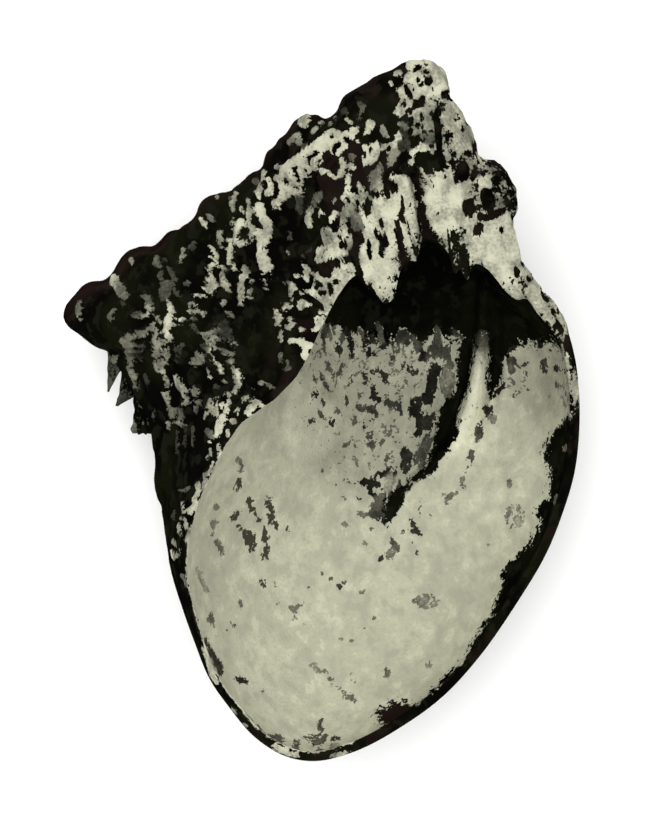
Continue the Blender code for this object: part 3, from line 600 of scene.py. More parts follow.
    (0.19, -22.1, -20.6, 0.29, -22.5, -21.8, 0.46), (0.28, -24.9, -22.3, 0.5, -24.7, -22.9, 0.25),
    (0.14, -25.3, -23.9, 0.33, -24.9, -25, 0.42, -24.1, -24.5, 0.25, -23.8, -23.5, 0.21),
    (0.09, -11.7, 0.4, 0.71, -10.6, 1.4, 0.58, -9.8, 1, 0.42), (0.09, -12.3, -0.2, 0.42, -11.5, -0.9, 0.42),
    (0.63, -22.2, -12.9, 0.21, -22.8, -13.5, 0.29, -23.9, -13.5, 0.17),
    (0.76, -28.5, 0, 0.25, -28.8, -1.1, 0.21), (0.98, -24.9, -17.2, 0.25, -25.2, -18.4, 0.25),
    (0.5, -32.7, 12.2, 1.03, -32.7, 9.2, 0.6, -32.5, 6.9, 0.6, -32, 5.1, 0.6, -31.8, 3.7, 0.41),
    (0.35, -27.9, 13.8, 0.55, -27.9, 11.5, 0.62, -27.9, 9.2, 0.62, -27.6, 7.3, 0.62, -26.8, 6.2,
     0.55, -26.5, 3.9, 0.48, -26, 1.9, 0.55),
    (0.04, -19.7, -40.4, 0.37, -19.1, -41.8, 0.45, -18.5, -43.4, 0.55, -18.1, -45, 0.55, -17.6,
     -46.3, 0.37),
    (0.35, -14.9, -50.9, 0.29, -14.2, -51.6, 0.24), (0.4, -12.8, -53.7, 0.39),
    (0.04, -7.8, -57.3, 0.52, -5.5, -58.4, 0.58, -3.8, -58.8, 0.42),
    (0.25, 2.3, -59.2, 0.52, 4.4, -59, 0.63, 5.6, -58.6, 0.47),
    (0.6, -23.3, -28, 0.42, -22.6, -29, 0.31, -22.5, -29.9, 0.16),
]
HINGE_SCRAPS = [
    (0.14, -2.6, 49.2, 1.02, -2.1, 50, 0.59), (0.28, -0.6, 47.8, 0.51, -1.2, 47.2, 0.31),
    (0.4, -5.1, 45.7, 0.51, -3.6, 46.7, 0.71, -3.3, 45.5, 0.47), (1.04, -2.5, 44.9, 0.67),
    (0, 2.3, 46.7, 1.18, 0.7, 45.1, 1.38, -1.7, 43.5, 1.38, -3.6, 42.1, 1.38, -5.4, 40.8, 1.38, -6,
     39, 1.18, -6, 36.8, 0.98),
    (0, 2.3, 46.7, 1.18, 3.8, 44.7, 0.98, 2.6, 44.3, 0.98),
    (0.04, -0.9, 42.1, 1.38, -3.1, 39.8, 1.18, -4.4, 37.8, 1.18, -2.9, 37.4, 0.59),
    (0.07, 3.8, 42.3, 0.47, 4.1, 41.1, 0.51, 3.6, 39.8, 0.47, 2.8, 39.2, 0.24, 1.7, 40, 0.51, 0.7,
     40.4, 0.59),
    (0.22, -9.6, 40.8, 0.47, -9.8, 39.6, 0.28, -10.2, 38, 0.55, -10.4, 37, 0.39),
    (0.14, -8.8, 39.6, 0.47, -8.3, 38.4, 0.39, -8.8, 37.2, 0.67), (0.07, -7.4, 39.8, 0.51),
    (0.71, -11, 39.4, 0.47), (0.22, -7.2, 41.6, 0.55), (0.19, -7.4, 35.2, 0.98, -7.6, 34.5, 0.39),
    (0.02, 8.6, 48.4, 0.79, 8.4, 47.4, 0.59, 7.5, 46.5, 0.28),
    (0, 5.8, 47.2, 0.87, 5.6, 46.3, 0.67, 4.4, 46.9, 0.59), (0.07, 6.5, 45.5, 0.35),
    (0.25, 4.6, 49.2, 0.43, 5.3, 48.7, 0.28), (0.28, 1.9, 48.9, 0.28, 1.9, 48.3, 0.28),
    (0.34, 2.6, 49.7, 0.31), (0.34, 0.4, 49, 0.35), (0.81, 6.8, 52, 0.47, 7.4, 51.2, 0.47, 6.7, 49.4, 0.28),
    (1.11, 4.2, 50.8, 0.67), (0.34, 10.5, 47.8, 0.55, 11.3, 46.5, 0.51),
    (0, 9.5, 44.9, 0.79, 8, 44.1, 0.87, 9.3, 43.3, 0.98, 8.2, 42.3, 0.91, 7.5, 41.5, 0.28),
    (0.07, 13.5, 46.7, 0.47, 13.1, 45.5, 0.79, 11.7, 44.7, 0.39, 10.7, 44.3, 0.47),
    (0.34, 11.7, 42.7, 0.67, 12.9, 43.5, 0.79, 11.9, 41.7, 0.39),
    (0.07, 15.6, 58.5, 0.98, 17.2, 58.9, 0.59), (0.17, 13.3, 57.1, 0.71),
    (0.12, 15.6, 56.1, 1.38, 17.2, 56.7, 0.98, 18.4, 57.5, 0.79),
    (0.07, 15.2, 54.5, 1.18, 13.9, 53.9, 0.98, 17.2, 53.9, 1.18, 18.4, 54.5, 0.79),
    (0.09, 15.6, 52.8, 0.59, 14.3, 51.8, 0.98, 13.5, 50.4, 0.79),
    (0.12, 15.6, 50, 0.59, 18, 50.8, 0.79, 18.8, 52, 0.59), (0.12, 12, 55.5, 0.39),
    (0.4, 16.4, 48.4, 0.98, 15.6, 49.2, 0.39, 17.2, 50, 0.59), (0.44, 14.7, 48, 0.59, 13.5, 48.4, 0.39),
    (0.44, 16.6, 47.2, 0.98),
    (0.07, 17.6, 44.5, 0.98, 16, 43.7, 0.59, 17.2, 43.3, 0.79, 15.5, 41.9, 0.51, 15, 42.1, 0.28),
    (0.71, 18.4, 46.1, 0.79), (1.18, 14.3, 44.9, 1.18), (1.18, 14.3, 46.9, 0.67),
    (0.22, 5.4, 41.1, 0.67, 5.9, 40.6, 0.31), (0.63, 5.4, 42.9, 0.59),
    (0, 4.9, 39.6, 0.51, 4.7, 38.2, 0.55, 4.8, 37.2, 0.47, 3.8, 36, 0.28),
    (0.22, 6.6, 38.4, 0.47, 7.2, 37.4, 0.47), (0.51, 9.7, 40, 0.98, 8.9, 39.2, 0.79),
    (0.55, 10.3, 41.3, 0.39),
    (0.07, 12.5, 39.6, 0.79, 14.3, 38.8, 1.18, 15.6, 36.4, 1.57, 16, 33.5, 1.38, 16.4, 31.1, 1.18),
    (0.04, 11.3, 35.4, 1.77, 8.7, 34.8, 0.98), (0.02, 11.3, 32.5, 2.16, 9.7, 30.7, 1.57, 13.7, 30.7, 1.18),
    (0.28, 9.9, 38, 0.98, 9.1, 37.4, 0.59), (0.28, 6.4, 35.8, 1.18, 8, 36.6, 0.39),
    (0.28, 5, 34.7, 0.79, 4, 33.5, 0.59), (0.55, -0.3, 36.2, 0.87, -0.9, 35.2, 0.59),
    (0.86, -3.3, 36, 0.67, -3.5, 34.7, 0.59, -3.1, 33.7, 0.31),
    (0.12, -1.5, 34.1, 0.67, -2.1, 32.7, 0.59, -1.5, 31.7, 0.59), (0.07, 0.4, 33.5, 0.59, -0.1, 33.1, 0.31),
    (0.02, 2.8, 33.7, 0.31, 2.3, 32.7, 0.59, 1.9, 32.1, 0.39), (0.12, 2.5, 35.4, 0.39),
    (0.51, 5.8, 33.1, 0.79), (0.63, 7, 31.9, 0.67), (0.28, 3.8, 32.5, 0.67),
    (0.28, 1.2, 30.3, 1.05, 2, 28.7, 1.4), (0.07, 0.6, 26.9, 1.22, 2.4, 26.8, 1.4, -0.4, 25.7, 0.52),
    (0.47, 4.7, 28.7, 1.05), (0.47, 4.3, 30.6, 0.52), (0.67, 6.4, 31.1, 1.05),
    (0, 3.4, 23.3, 1.05, 4.7, 22.6, 0.52),
    (0, 3.1, 21.2, 0.87, 1.7, 18.7, 1.05, 1, 17, 0.87, -0.1, 15.4, 1.05, -0.8, 14, 0.7),
    (0.12, 5, 24.3, 0.7, 5.9, 23.8, 0.52), (0.17, -2.5, 24.1, 0.45, -2, 22.4, 0.45),
    (0.17, -3.4, 22.9, 0.31, -4.1, 22.9, 0.35), (0.28, -4.6, 21.2, 0.7, -4.8, 19.6, 0.52, -4.8, 18.9, 0.42),
    (0.09, -0.4, 22.6, 0.52, 0.5, 21.2, 0.7, -0.4, 19.9, 0.52, -1.5, 20.3, 0.42),
    (0.12, -2.9, 18.4, 0.7, -1.6, 18, 0.52), (0.09, -5.5, 17.7, 0.7, -6.2, 17.3, 0.35),
    (0.09, -7.1, 17, 0.35, -7.1, 16.1, 0.7, -7.4, 14.7, 0.52),
    (0.09, -5.1, 15.9, 0.45, -5.3, 14.3, 0.59, -4.3, 14.9, 0.35), (0.07, -3, 13.8, 0.42),
    (0.02, -6.5, 13.5, 0.24, -6.6, 11.9, 0.24),
    (0, -5, 11.9, 0.52, -3.6, 11.9, 0.52, -2.7, 11.5, 0.7, -2, 10.8, 0.87, -2.5, 9.4, 0.59),
    (0.55, -6.7, 9.4, 0.45), (0.02, 8.3, 33.4, 1.05, 8.7, 31.3, 1.05, 8.2, 29.2, 0.52),
    (0.04, 12, 33.4, 1.4, 12.4, 30.1, 0.77, 12.4, 28.7, 0.77),
    (0, 7.5, 26.9, 0.52, 8.2, 25.4, 0.7, 9.9, 25.4, 1.05, 12, 25.7, 1.57, 9.9, 23.3, 1.92, 12.2,
     23.3, 1.57),
    (0, 8.5, 22, 1.05, 11.1, 21.2, 1.75, 11.3, 19.6, 1.4),
    (0.07, 14.8, 33.4, 1.05, 15.7, 31.8, 0.87, 16, 30.4, 0.7, 15.5, 29.6, 0.24),
    (0, 15, 28, 0.52, 16, 27.8, 0.59, 16.6, 27.5, 0.24),
    (0.07, 13.6, 26.6, 0.7, 15, 26.2, 0.52, 16, 25.9, 0.35), (0.92, -5.2, 30.6, 0.31, -5.1, 29.4, 0.35),
    (1.04, -2.7, 26.6, 0.35, -1.5, 27.3, 0.24), (0.25, -8.9, 20.8, 0.38),
    (0.76, -6, 21.7, 0.24, -5, 21.9, 0.24), (0.81, -6.5, 18.7, 0.24),
    (0.05, 7.8, 30.5, 0.79, 8.1, 29.5, 0.66, 7.5, 27.9, 0.52, 7.8, 26.3, 1.05, 7.5, 25.4, 0.79),
    (0.05, 8.9, 29.5, 0.66, 9.2, 28.7, 0.79, 9.8, 27.9, 0.52, 9.2, 27.4, 0.52),
    (0, 12.1, 32.4, 0.92, 12.3, 30, 0.79, 12.3, 27.9, 0.79, 12.4, 26.3, 1.05),
    (0, 12.4, 24.8, 1.31, 12.4, 22.8, 0.98, 12, 20.8, 0.98, 11.5, 19.3, 0.79),
    (0.05, 7.5, 26.1, 0.66, 7.8, 24.8, 0.52, 8.5, 24, 0.79, 7.7, 23.6, 0.52),
    (0.05, 8.5, 22.4, 0.66, 8.2, 21.5, 0.66, 8.5, 20.7, 0.26),
    (0.02, 9.2, 22.1, 1.18, 10.3, 20.8, 0.92, 10.6, 19.5, 0.79),
    (0.2, 3.7, 30.4, 0.66, 4.8, 29.5, 0.66, 5.8, 28.4, 0.66, 5.1, 27.9, 0.52),
    (0.28, 4, 31.3, 0.46, 4.7, 30.8, 0.39), (0.1, 4, 28.7, 0.52, 4.5, 26.5, 0.39),
    (0.12, -1.4, 23.3, 0.39, -0.6, 23.3, 0.52),
    (0.1, -2.6, 24.6, 0.46, -2.2, 23.5, 0.52, -2.4, 22.3, 0.52, -1.9, 21.9, 0.33),
    (0.1, -0.7, 22.3, 0.39, 1, 22, 0.46, 1.6, 22.5, 0.52, 2.4, 23.1, 0.66, 3, 23.7, 0.79),
    (0.2, -2.6, 20, 0.52, -1.4, 20.8, 0.52, 0.1, 20.7, 0.52, -0.7, 21.6, 0.33),
    (0.12, 1, 21.4, 0.52, 1.9, 21.7, 0.52, 2.2, 21, 0.52, 2.8, 20.4, 0.66),
    (0.12, -1.1, 19.9, 0.66, -0.3, 19.3, 0.79, -1.4, 18.9, 0.52),
    (0.06, 3, 19.5, 0.79, 2.4, 18.5, 0.79, 1.9, 17.4, 0.79), (0.1, -2.6, 20.4, 0.33, -3.3, 20.2, 0.39),
    (0.12, 0.6, 19, 0.79, 1.4, 18.2, 0.79, 1, 17.3, 0.79), (0.1, -2.6, 18.2, 0.79, -3.1, 17.7, 0.79),
    (0.2, -0.6, 18.2, 0.26, 0.6, 17.7, 0.39),
    (0.3, 5.3, 36.4, 0.66, 6.6, 36, 0.66, 7.9, 35.8, 0.66, 8.9, 36.2, 0.52),
    (0.1, 7.1, 34.2, 0.46, 7.1, 33.6, 0.39, 7.5, 32.6, 0.39),
    (0.1, 15, 28.3, 0.66, 15.7, 28, 0.66, 16.5, 27.4, 0.33),
    (0.1, 14.1, 26.7, 0.52, 15, 26.3, 0.52, 15.9, 25.9, 0.52, 16.3, 25.4, 0.26),
    (0.15, 14.5, 33.3, 0.66, 15.3, 32.6, 0.79, 16.3, 31.6, 0.66, 15.5, 30, 0.66),
    (0.03, 8.5, 33.8, 0.79, 8.5, 32.4, 0.92, 8.2, 31.1, 0.79), (0.03, 9.3, 31.3, 0.79, 9, 30.5, 0.52),
    (0.04, 9.3, 29.1, 0.66, 9.6, 28.2, 0.46),
    (0, 12.9, 24, 0.79, 12.7, 22.4, 0.79, 12.3, 20.7, 0.72, 11.5, 19.1, 0.66),
    (0.02, 4, 24, 1.05, 5.2, 23.2, 0.92, 4.5, 22, 0.66, 3.8, 20.8, 0.59, 3, 19.5, 0.72),
    (0.03, 13.1, 36.6, 0.79, 13.2, 34.9, 0.59, 13, 33.3, 0.59), (0.05, 14.9, 33.6, 0.79, 15.4, 32.2, 0.66),
    (0.05, 13.8, 26.7, 0.39, 14.9, 26.6, 0.46, 15.8, 26.2, 0.52), (0, 15.5, 27.9, 0.79, 16.5, 27.4, 0.33),
    (0.06, 10.8, 30.5, 0.66, 11.2, 31.1, 0.66), (0.04, 8.3, 30, 0.66, 7.9, 29, 0.39),
    (0.1, 0.6, 22.4, 0.52, -1, 22, 0.46, -1.9, 20.3, 0.52), (0.1, 1, 21, 0.39, 0.9, 19.3, 0.79),
]
# Pits in them, painted near black for the matrix in them and the shade that falls in them: strokes
# without a shade.
DARK_PITS = [
    (2.1, 46.5, 0.31), (3.4, 45, 0.28, 2.6, 44.6, 0.28, 2.5, 43.9, 0.31),
    (-0.6, 43.5, 0.28, -1.7, 42.9, 0.31, -2.2, 41.7, 0.28, -2.5, 40.9, 0.24),
    (-0.1, 42.3, 0.24, -0.5, 41.5, 0.2), (2.1, 43, 0.24, 1.1, 41.6, 0.28),
    (-4.3, 41.2, 0.47, -4.1, 40.4, 0.24, -3.8, 39.2, 0.43), (-0.8, 40.1, 0.47), (-5.7, 39.2, 0.39),
    (-2.2, 39, 0.35, -2.9, 38.1, 0.2, -4.1, 37.7, 0.39), (-7.5, 38.4, 0.39, -7.5, 37.8, 0.47),
    (-1.7, 37.8, 0.59, -1.3, 37.4, 0.71), (2.6, 40.8, 0.59, 3, 41.3, 0.28, 3, 41.7, 0.24),
    (4.5, 45.9, 0.51), (4, 48.2, 0.79), (8.6, 44.1, 0.28), (10.5, 42.9, 0.47), (11.8, 44.1, 0.43),
    (10.5, 45.3, 0.39), (9.2, 46.3, 0.79), (17.2, 58.5, 0.28, 16, 57.7, 0.31), (18.1, 57.4, 0.2),
    (16.6, 55.9, 0.31), (17.2, 54.9, 0.28), (15.9, 54.2, 0.16), (18.5, 55.6, 0.51),
    (14.5, 55.1, 0.31, 14.8, 54.1, 0.31, 15.4, 53.2, 0.39),
    (17.6, 53.1, 0.39, 17.2, 52, 0.67, 16.4, 51.6, 0.28), (13.7, 52.1, 0.2, 14.3, 51.9, 0.35),
    (15.4, 50.3, 0.24), (17.2, 49.8, 0.31), (15.6, 49, 0.35), (16.6, 48.2, 0.43), (15.5, 47.4, 0.31),
    (16.7, 46.1, 0.39), (12.7, 37.8, 0.59), (9.7, 36.4, 0.35, 8.7, 36.6, 0.2),
    (11.7, 36.4, 0.39, 11, 37.4, 0.24), (8.4, 35, 0.59, 7.9, 33.7, 0.28),
    (14.1, 34.7, 0.28, 14.1, 33.5, 0.31), (6.6, 34.9, 0.43), (10.7, 31.6, 0.49),
    (9.6, 30, 0.42, 10.1, 29.9, 0.21), (10.8, 29.4, 0.59, 10.8, 28.2, 0.66),
    (8.6, 28, 0.31, 8.4, 26.2, 0.24), (9.4, 26.8, 0.35), (7, 24.6, 0.42), (11.5, 19.9, 0.31),
    (14, 33.9, 0.35, 14.2, 32.4, 0.21), (13.3, 31.3, 0.35, 13.6, 29.2, 0.7, 13.2, 28, 0.24),
    (16.6, 32.5, 0.42), (15.2, 31.5, 0.24), (16.7, 28.9, 0.52), (4.1, 28, 0.59),
    (6.2, 28.9, 0.7, 7.1, 29, 0.52), (5.5, 26.8, 0.7, 6.1, 25.9, 0.7), (4.5, 25.5, 0.42),
    (1, 24.8, 0.42, 1, 23.6, 1.05), (-0.8, 24.1, 0.59), (2.9, 25.5, 0.35), (3.1, 24.7, 0.28),
    (-1.5, 22.6, 0.42, -1.8, 21.2, 0.45), (-2.8, 21.7, 0.52), (-3.1, 20.5, 0.31),
    (0, 21.5, 0.42, -0.6, 21, 0.31), (2.7, 21.9, 0.45), (1.7, 21.3, 0.28), (0.7, 20.1, 0.35),
    (1.9, 20.1, 0.42), (-2.2, 19.4, 0.42, -1.1, 18.7, 0.45, 0.1, 17.8, 0.45, 0.5, 17.2, 0.24),
    (-6, 16.4, 0.35, -4.4, 17.1, 0.7), (-2.7, 15.9, 1.4, -2, 14.9, 1.05), (-5.6, 15, 0.28),
    (-4.3, 13.5, 0.59, -3.9, 12.9, 0.52), (-2, 13.3, 0.28), (-4.6, 10.3, 0.7), (-1.5, 10, 0.35),
    (-10.6, -0.3, 0.5), (-11.9, -1.4, 0.37), (-14.6, -3.1, 0.46, -14.7, -4.2, 0.29), (-23.5, -18.9, 0.37),
    (-21.4, -18.7, 0.5), (9.6, 30, 0.42), (10.7, 29.4, 0.46, 10.7, 28, 0.59),
    (8.5, 27.9, 0.16, 8.5, 26.3, 0.26), (9.5, 26.7, 0.29), (10.8, 31.5, 0.5), (7.1, 24.5, 0.39),
    (11.5, 20, 0.29), (-2.6, 19.7, 0.33, -2, 19, 0.46, -1, 18.6, 0.46, -0.2, 17.8, 0.46), (-0.5, 21, 0.37),
    (0.6, 20, 0.39, 0.2, 19.8, 0.21), (1.8, 19.9, 0.34, 2, 20.7, 0.31), (-1.6, 21.5, 0.37, -1.9, 21, 0.31),
    (-2.9, 21.6, 0.46), (8.5, 35.3, 0.37, 8.2, 34.5, 0.37, 7.8, 33.4, 0.31),
    (14, 35, 0.18, 14.1, 33.6, 0.26), (7.7, 23.1, 0.26),
]
# Right of these x, the drawn scraps give way to a scattered pattern. How much of it is pale shell:
# middle x and y, half width and height, turn in degrees, share.
DRAWN_TO = (17.6, 16.2)
PALE_SHARE = [
    (17.3, 55.7, 4.4, 4.1, 0, 0.9), (18.4, 48.5, 2.4, 4.6, 0, 0.62), (23.3, 47.3, 2.5, 6, 0, 0.76),
    (20.6, 34.9, 3.3, 6, 0, 0.985), (24.6, 33.4, 2.2, 5, 0, 0.9), (30.3, 39.3, 3.1, 4, 0, 0.5),
    (28.1, 38.3, 1.1, 2, 0, 0.97), (31, 35.5, 1.8, 1.9, 0, 0.72), (30.3, 27.6, 4.4, 6.2, 0, 0.995),
    (36.9, 20.7, 4.3, 6.9, 30, 0.9), (42.4, 12, 1.9, 5.3, 10, 0.84),
]
# Single dark hollows in it, painted near black for the matrix and the shade in them: middle x and y,
# half width and height, and turn.
DARK_SPOTS = [
    (24.4, 40.5, 1.1, 1.7, 0), (28.6, 35.8, 1.1, 2.1, 20), (30, 33.3, 2.2, 0.7, 24),
    (27.1, 31, 1.1, 0.8, 30), (25.4, 34.4, 1.1, 1.7, 10), (31, 30.7, 0.5, 0.5, 0),
    (22.4, 29.3, 1.1, 0.9, -20), (24.3, 25.6, 1.1, 1.8, 15), (18.9, 42.1, 2.8, 1.7, -8),
    (20.1, 47.2, 0.6, 3.9, 4), (18.5, 55.8, 0.7, 0.7, 0), (18.1, 57.4, 0.5, 0.4, 0),
    (21.2, 53.5, 0.6, 0.7, 0), (33.6, 23.8, 0.5, 0.9, 20), (35.8, 22.6, 0.6, 0.6, 0),
    (38.7, 19.6, 0.7, 1.2, 30), (41, 14.6, 0.6, 1.4, 15), (40, 17, 0.5, 0.7, 0),
]
# The shade of its pale shell, in the same form.
SHADES = [
    (17.3, 55.7, 5, 4.6, 0, 0.1), (18.2, 47, 3.4, 5, 0, 0.32), (23.3, 47.3, 3, 6.4, 0, 0.22),
    (20.6, 34.9, 4, 7, 0, 0.02), (24.8, 32.8, 1.8, 1.8, 0, 0.25), (31, 39, 3.2, 4.4, 0, 0.48),
    (28.1, 38.3, 1.6, 2.4, 0, 0.08), (30.3, 27.3, 4.8, 6.6, 0, 0.04),
]
# The right margin's painted shadow, the shadow that the rim casts on the inner wall and over the lip,
# begins to the right of this line, from the top down.
STRIP_Y = (12.0, 11.0, 7.4, 5.3, 4.9, 1.6, 1.4, -0.9, -4.8, -7.7, -11.7, -15.1, -17.1, -19.0, -22.6,
           -27.6, -30.2, -35.5, -39.8, -42.7, -45.2, -47.8, -50.2, -53.6, -56.0)
STRIP_X = (40.0, 41.4, 42.9, 44.1, 47.0, 47.0, 44.5, 42.8, 39.3, 39.0, 39.7, 39.5, 36.9, 38.1, 36.2,
           31.6, 31.3, 29.1, 26.3, 24.8, 21.9, 19.5, 17.2, 12.0, 12.0)


def painted_margin_shadow(x, y):
    """How far a place lies inside the right margin's painted shadow, and inside the dark chip low on the
    margin, in millimetres.
    """
    inside = x - np.interp(-y, -np.array(STRIP_Y), STRIP_X)
    chip = 2.6 - np.hypot((x - 14.6) * 0.55, y + 52.6)
    return np.maximum(np.where((y < 13.0) & (y > -54.6), inside, -5.0), chip)


def worn_forms(p, pitted):
    """The uneven worn surface, round nought: long raised scraps on the flank and small pits where the
    surface is pitted, scattered at random, both roughened. And the roughness alone."""
    spots, rng = scatter((-47, -62), (6, 62), (1.7, 5.0), 11)
    lean = np.interp(spots[:, 0], (-45.0, -20.0, -10.0, 5.0), (0.05, -0.12, -0.15, 0.45))
    lean = lean + 0.45 * smooth(0.0, -14.0, spots[:, 1]) + rng.normal(0, 0.08, len(spots))
    scraps = marks(p, spots, rng.uniform(0.4, 0.9, len(spots)), rng.uniform(1.2, 3.6, len(spots)), lean)
    spots, rng = scatter((-12, 8), (46, 62), (2.0, 2.3), 12)
    lean = np.interp(spots[:, 0], (-10.0, 8.0, 14.0), (0.45, 0.45, 0.0)) + rng.normal(0, 0.25, len(spots))
    pits = marks(p, spots, rng.uniform(0.4, 0.8, len(spots)), rng.uniform(0.5, 1.3, len(spots)), lean)
    rough = standard(value_noise(p, 1.6, 1) + 0.6 * value_noise(p, 0.9, 2) + 0.6 * value_noise(p, 4.5, 4))
    forms = (0.75 * standard(scraps) + 0.65 * rough) * (1.0 - pitted)
    forms += (0.65 * rough - 0.75 * standard(pits)) * pitted
    return forms, rough


def scattered_shell(x, y, course, forms, drawn, outline_shade):
    """The measure of pale shell, and its shade, before anything is drawn: the shell's share as given
    place by place, made uneven by the forms. Little is left where scraps are drawn instead, and none
    along the upper outline, where the shade that falls is painted dark."""
    share = patches(x, y, 0.50, PALE_SHARE)
    share += smooth(1.0, 1.12, course) * (0.30 - share)
    share += drawn * (0.015 - share)
    share += outline_shade * (0.01 - share)
    shade = np.where(course <= 1.0, patches(x, y, 0.20, SHADES), 0.30)
    shade += drawn * (0.95 - shade)
    return odds(share) + (0.55 - 0.15 * drawn) * forms * (1.0 - 0.8 * outline_shade), shade


def outer_darks(x, y, course, wide):
    """How far a place lies inside the cleft's dark line or the margin's painted shadow, as a measure."""
    cleft_x = np.interp(y, (CLEFT_FOOT[1], CLEFT_HEAD[1]), (CLEFT_FOOT[0], CLEFT_HEAD[0]))
    cleft_half = np.interp(y, (27.0, 32.0, 42.0), (1.3, 0.9, 0.5))
    cleft = (cleft_half - np.abs(x - cleft_x)) * 2.5 - 6.0 * smooth(40.5, 42.5, y) - 6.0 * (course > 1.0)
    # The right margin's painted shadow reaches over the lip onto the outer face.
    margin_shadow = painted_margin_shadow(x, y) * 1.3 - 9.0 * smooth(1.02, 1.30, course) - 6.0 * (wide >= 4.0)
    return np.maximum(cleft, margin_shadow)


# How far a scrap of shell stands out on the hinge area, how much further on the flank, how deep the
# dark pits go, and how uneven all of it is.
SCRAP_RISE = 0.32
FLANK_RISE = 0.22
PIT_FALL = 0.7
UNEVEN = 0.05


def outer_look(points, course):
    """For the outer face: the fine relief, and the measures that its colours are made from. The drawn
    scraps lie over the scattered pattern, the worn rim over both, and then the pits, painted near black for
    the matrix and shade in them, the cleft's dark line and the margin's painted shadow."""
    shape = course.shape
    p = points.reshape(-1, 3)
    x, y = p[:, 0], p[:, 1]
    line = np.broadcast_to(from_cleft, shape).ravel()
    wide = np.broadcast_to(gap, shape).ravel()
    course = course.ravel()
    above = course <= 1.0
    from_rim = wide * np.minimum(course, 1.0) + 20.0 * np.maximum(course - 1.0, 0.0)
    pitted = smooth(-1.5, 2.5, x - np.interp(y, FURROW_Y, FURROW_X))
    pitted = np.clip(pitted + smooth(38.0, 42.0, y) * smooth(-9.0, -4.0, x), 0.0, 1.0)
    forms, rough = worn_forms(p, pitted)
    drawn = smooth(*DRAWN_TO, x) * smooth(1.25, 1.08, course)
    # Painted shade along the upper outline and left of the beak, where the face turns away from the light.
    outline_shade = smooth(0.80, 0.92, course) * smooth(1.22, 1.02, course) * smooth(-28, -25, line)
    outline_shade *= smooth(0.5, -1.5, line)
    pale, shade = scattered_shell(x, y, course, forms, drawn, outline_shade)

    scrap, scrap_shade = strokes(x, y, FLANK_SCRAPS + HINGE_SCRAPS)
    shade = np.where(above & (scrap > -SHADE_REACH), scrap_shade, shade)
    pale = np.where(above, np.maximum(pale, np.clip(STROKE_EDGE * scrap, -SURE, 1.05)), pale)
    worn_edge = 1.1 - 3.6 * from_rim - 9.0 * (x > 6.0) - 9.0 * (y > 22.0)
    shade = np.where(worn_edge > -0.3, 0.04, shade)
    pale = np.maximum(pale, worn_edge)
    # The pits and hollows are painted near black, for the matrix and the shade in them.
    hollow = patches(x, y, 0.0, [(*row, 1.0) for row in DARK_SPOTS]) * above
    hollow = np.maximum(hollow, smooth(-0.18, 0.12, inside_strokes(x, y, DARK_PITS)) * above)
    pale = np.minimum(pale, 1.6 - 3.6 * smooth(0.15, 0.85, hollow))
    pale = np.clip(np.minimum(pale, -outer_darks(x, y, course, wide)), -SURE, SURE)

    cover = smooth(1.9, 1.6, course) * smooth(0.0, 0.03, course) * smooth(0.2, 3.0, from_rim)
    cover *= 1.0 - smooth(6.0, 1.5, wide) * smooth(1.35, 1.1, course)
    relief = (SCRAP_RISE + FLANK_RISE * (1.0 - pitted)) * (smooth(-1.1, 1.0, pale) - 0.55)
    relief += UNEVEN * rough - PIT_FALL * hollow * smooth(1.0, 3.0, from_rim)
    looks = {
        "pale": pale,
        "grey": np.full(len(x), SURE),
        "shade": shade,
        "brown": np.full(len(x), -SURE),
        # The rust tint also colours the painted shade along the upper outline.
        "rust": np.maximum(0.9 * outline_shade, 0.6 * pitted * smooth(0.5, 0.7, value_noise(p, 3.0, 6))),
        "outside": smooth(0.0, 0.02, course),
        "streaky": (1.0 - pitted) * (1.0 - 0.6 * drawn),
        "painted_shading": np.zeros(len(x)),
    }
    return (relief * cover).reshape(shape), looks


# The places inside the bowl where shade is painted dark: the lower edge of the painted shade under the
# hinge, and both edges of the painted shadow in the pit and in the groove, each given from the top down.
CAVE_X = (-8.0, -6.0, 0.5, 3.6, 4.4, 7.5, 13.8, 17.5, 20.7, 25.8, 29.0, 32.1, 34.4, 36.0, 40.4, 43.0)
CAVE_Y = (9.0, 12.0, 15.2, 15.0, 13.6, 12.8, 12.3, 12.0, 12.8, 12.5, 12.5, 9.6, 11.4, 11.9, 11.6, 9.0)
PIT_Y = (15.5, 12.5, 11.0, 7.4, 4.1, 1.9, 0.3, -2.2, -4.6, -7.5, -9.9, -11.0, -12.2, -13.0, -14.6,
         -17.0, -19.2, -20.2)
PIT_LEFT = (23.5, 25.1, 24.5, 24.0, 23.9, 22.5, 20.7, 20.5, 20.1, 19.5, 18.1, 16.5, 15.6, 14.2, 11.9,
            11.2, 10.9, 11.7)
PIT_RIGHT = (27.3, 27.3, 27.2, 26.5, 26.1, 25.2, 24.5, 24.1, 23.9, 21.9, 20.3, 19.6, 17.8, 15.4, 14.6,
             13.8, 12.6, 11.8)
GROOVE_Y = (15.5, 11.9, 9.5, 6.5, 4.2, 2.9, 2.0)
GROOVE_LEFT = (29.5, 29.4, 29.3, 29.3, 29.3, 29.4, 30.0)
GROOVE_RIGHT = (36.0, 34.2, 32.1, 32.0, 31.2, 30.7, 30.2)
# Bruised, brown marks in the bowl: strokes without a shade.
BRUISES = [
    (-13.9, -12.1, 0.5, -14, -13.3, 0.5), (-12.1, -15, 0.42, -12, -16.2, 0.62, -11.3, -17.7, 0.33),
    (-14, -17.3, 0.3, -14.8, -18.5, 0.5), (-10.5, -18.6, 0.5),
    (-8.8, -15.4, 0.55, -8.5, -17.5, 0.6, -8.2, -19.1, 0.6, -7.6, -20.2, 0.25),
    (-13.9, -20, 0.3, -13, -21, 0.6, -12.1, -21.6, 1, -11.7, -23.5, 0.8),
    (-9.5, -20.2, 0.3, -9.5, -22, 0.6, -9.2, -22.9, 0.4), (-9.2, -24.3, 0.6, -9.4, -25.4, 0.5),
    (-5.7, -20.4, 0.5),
]
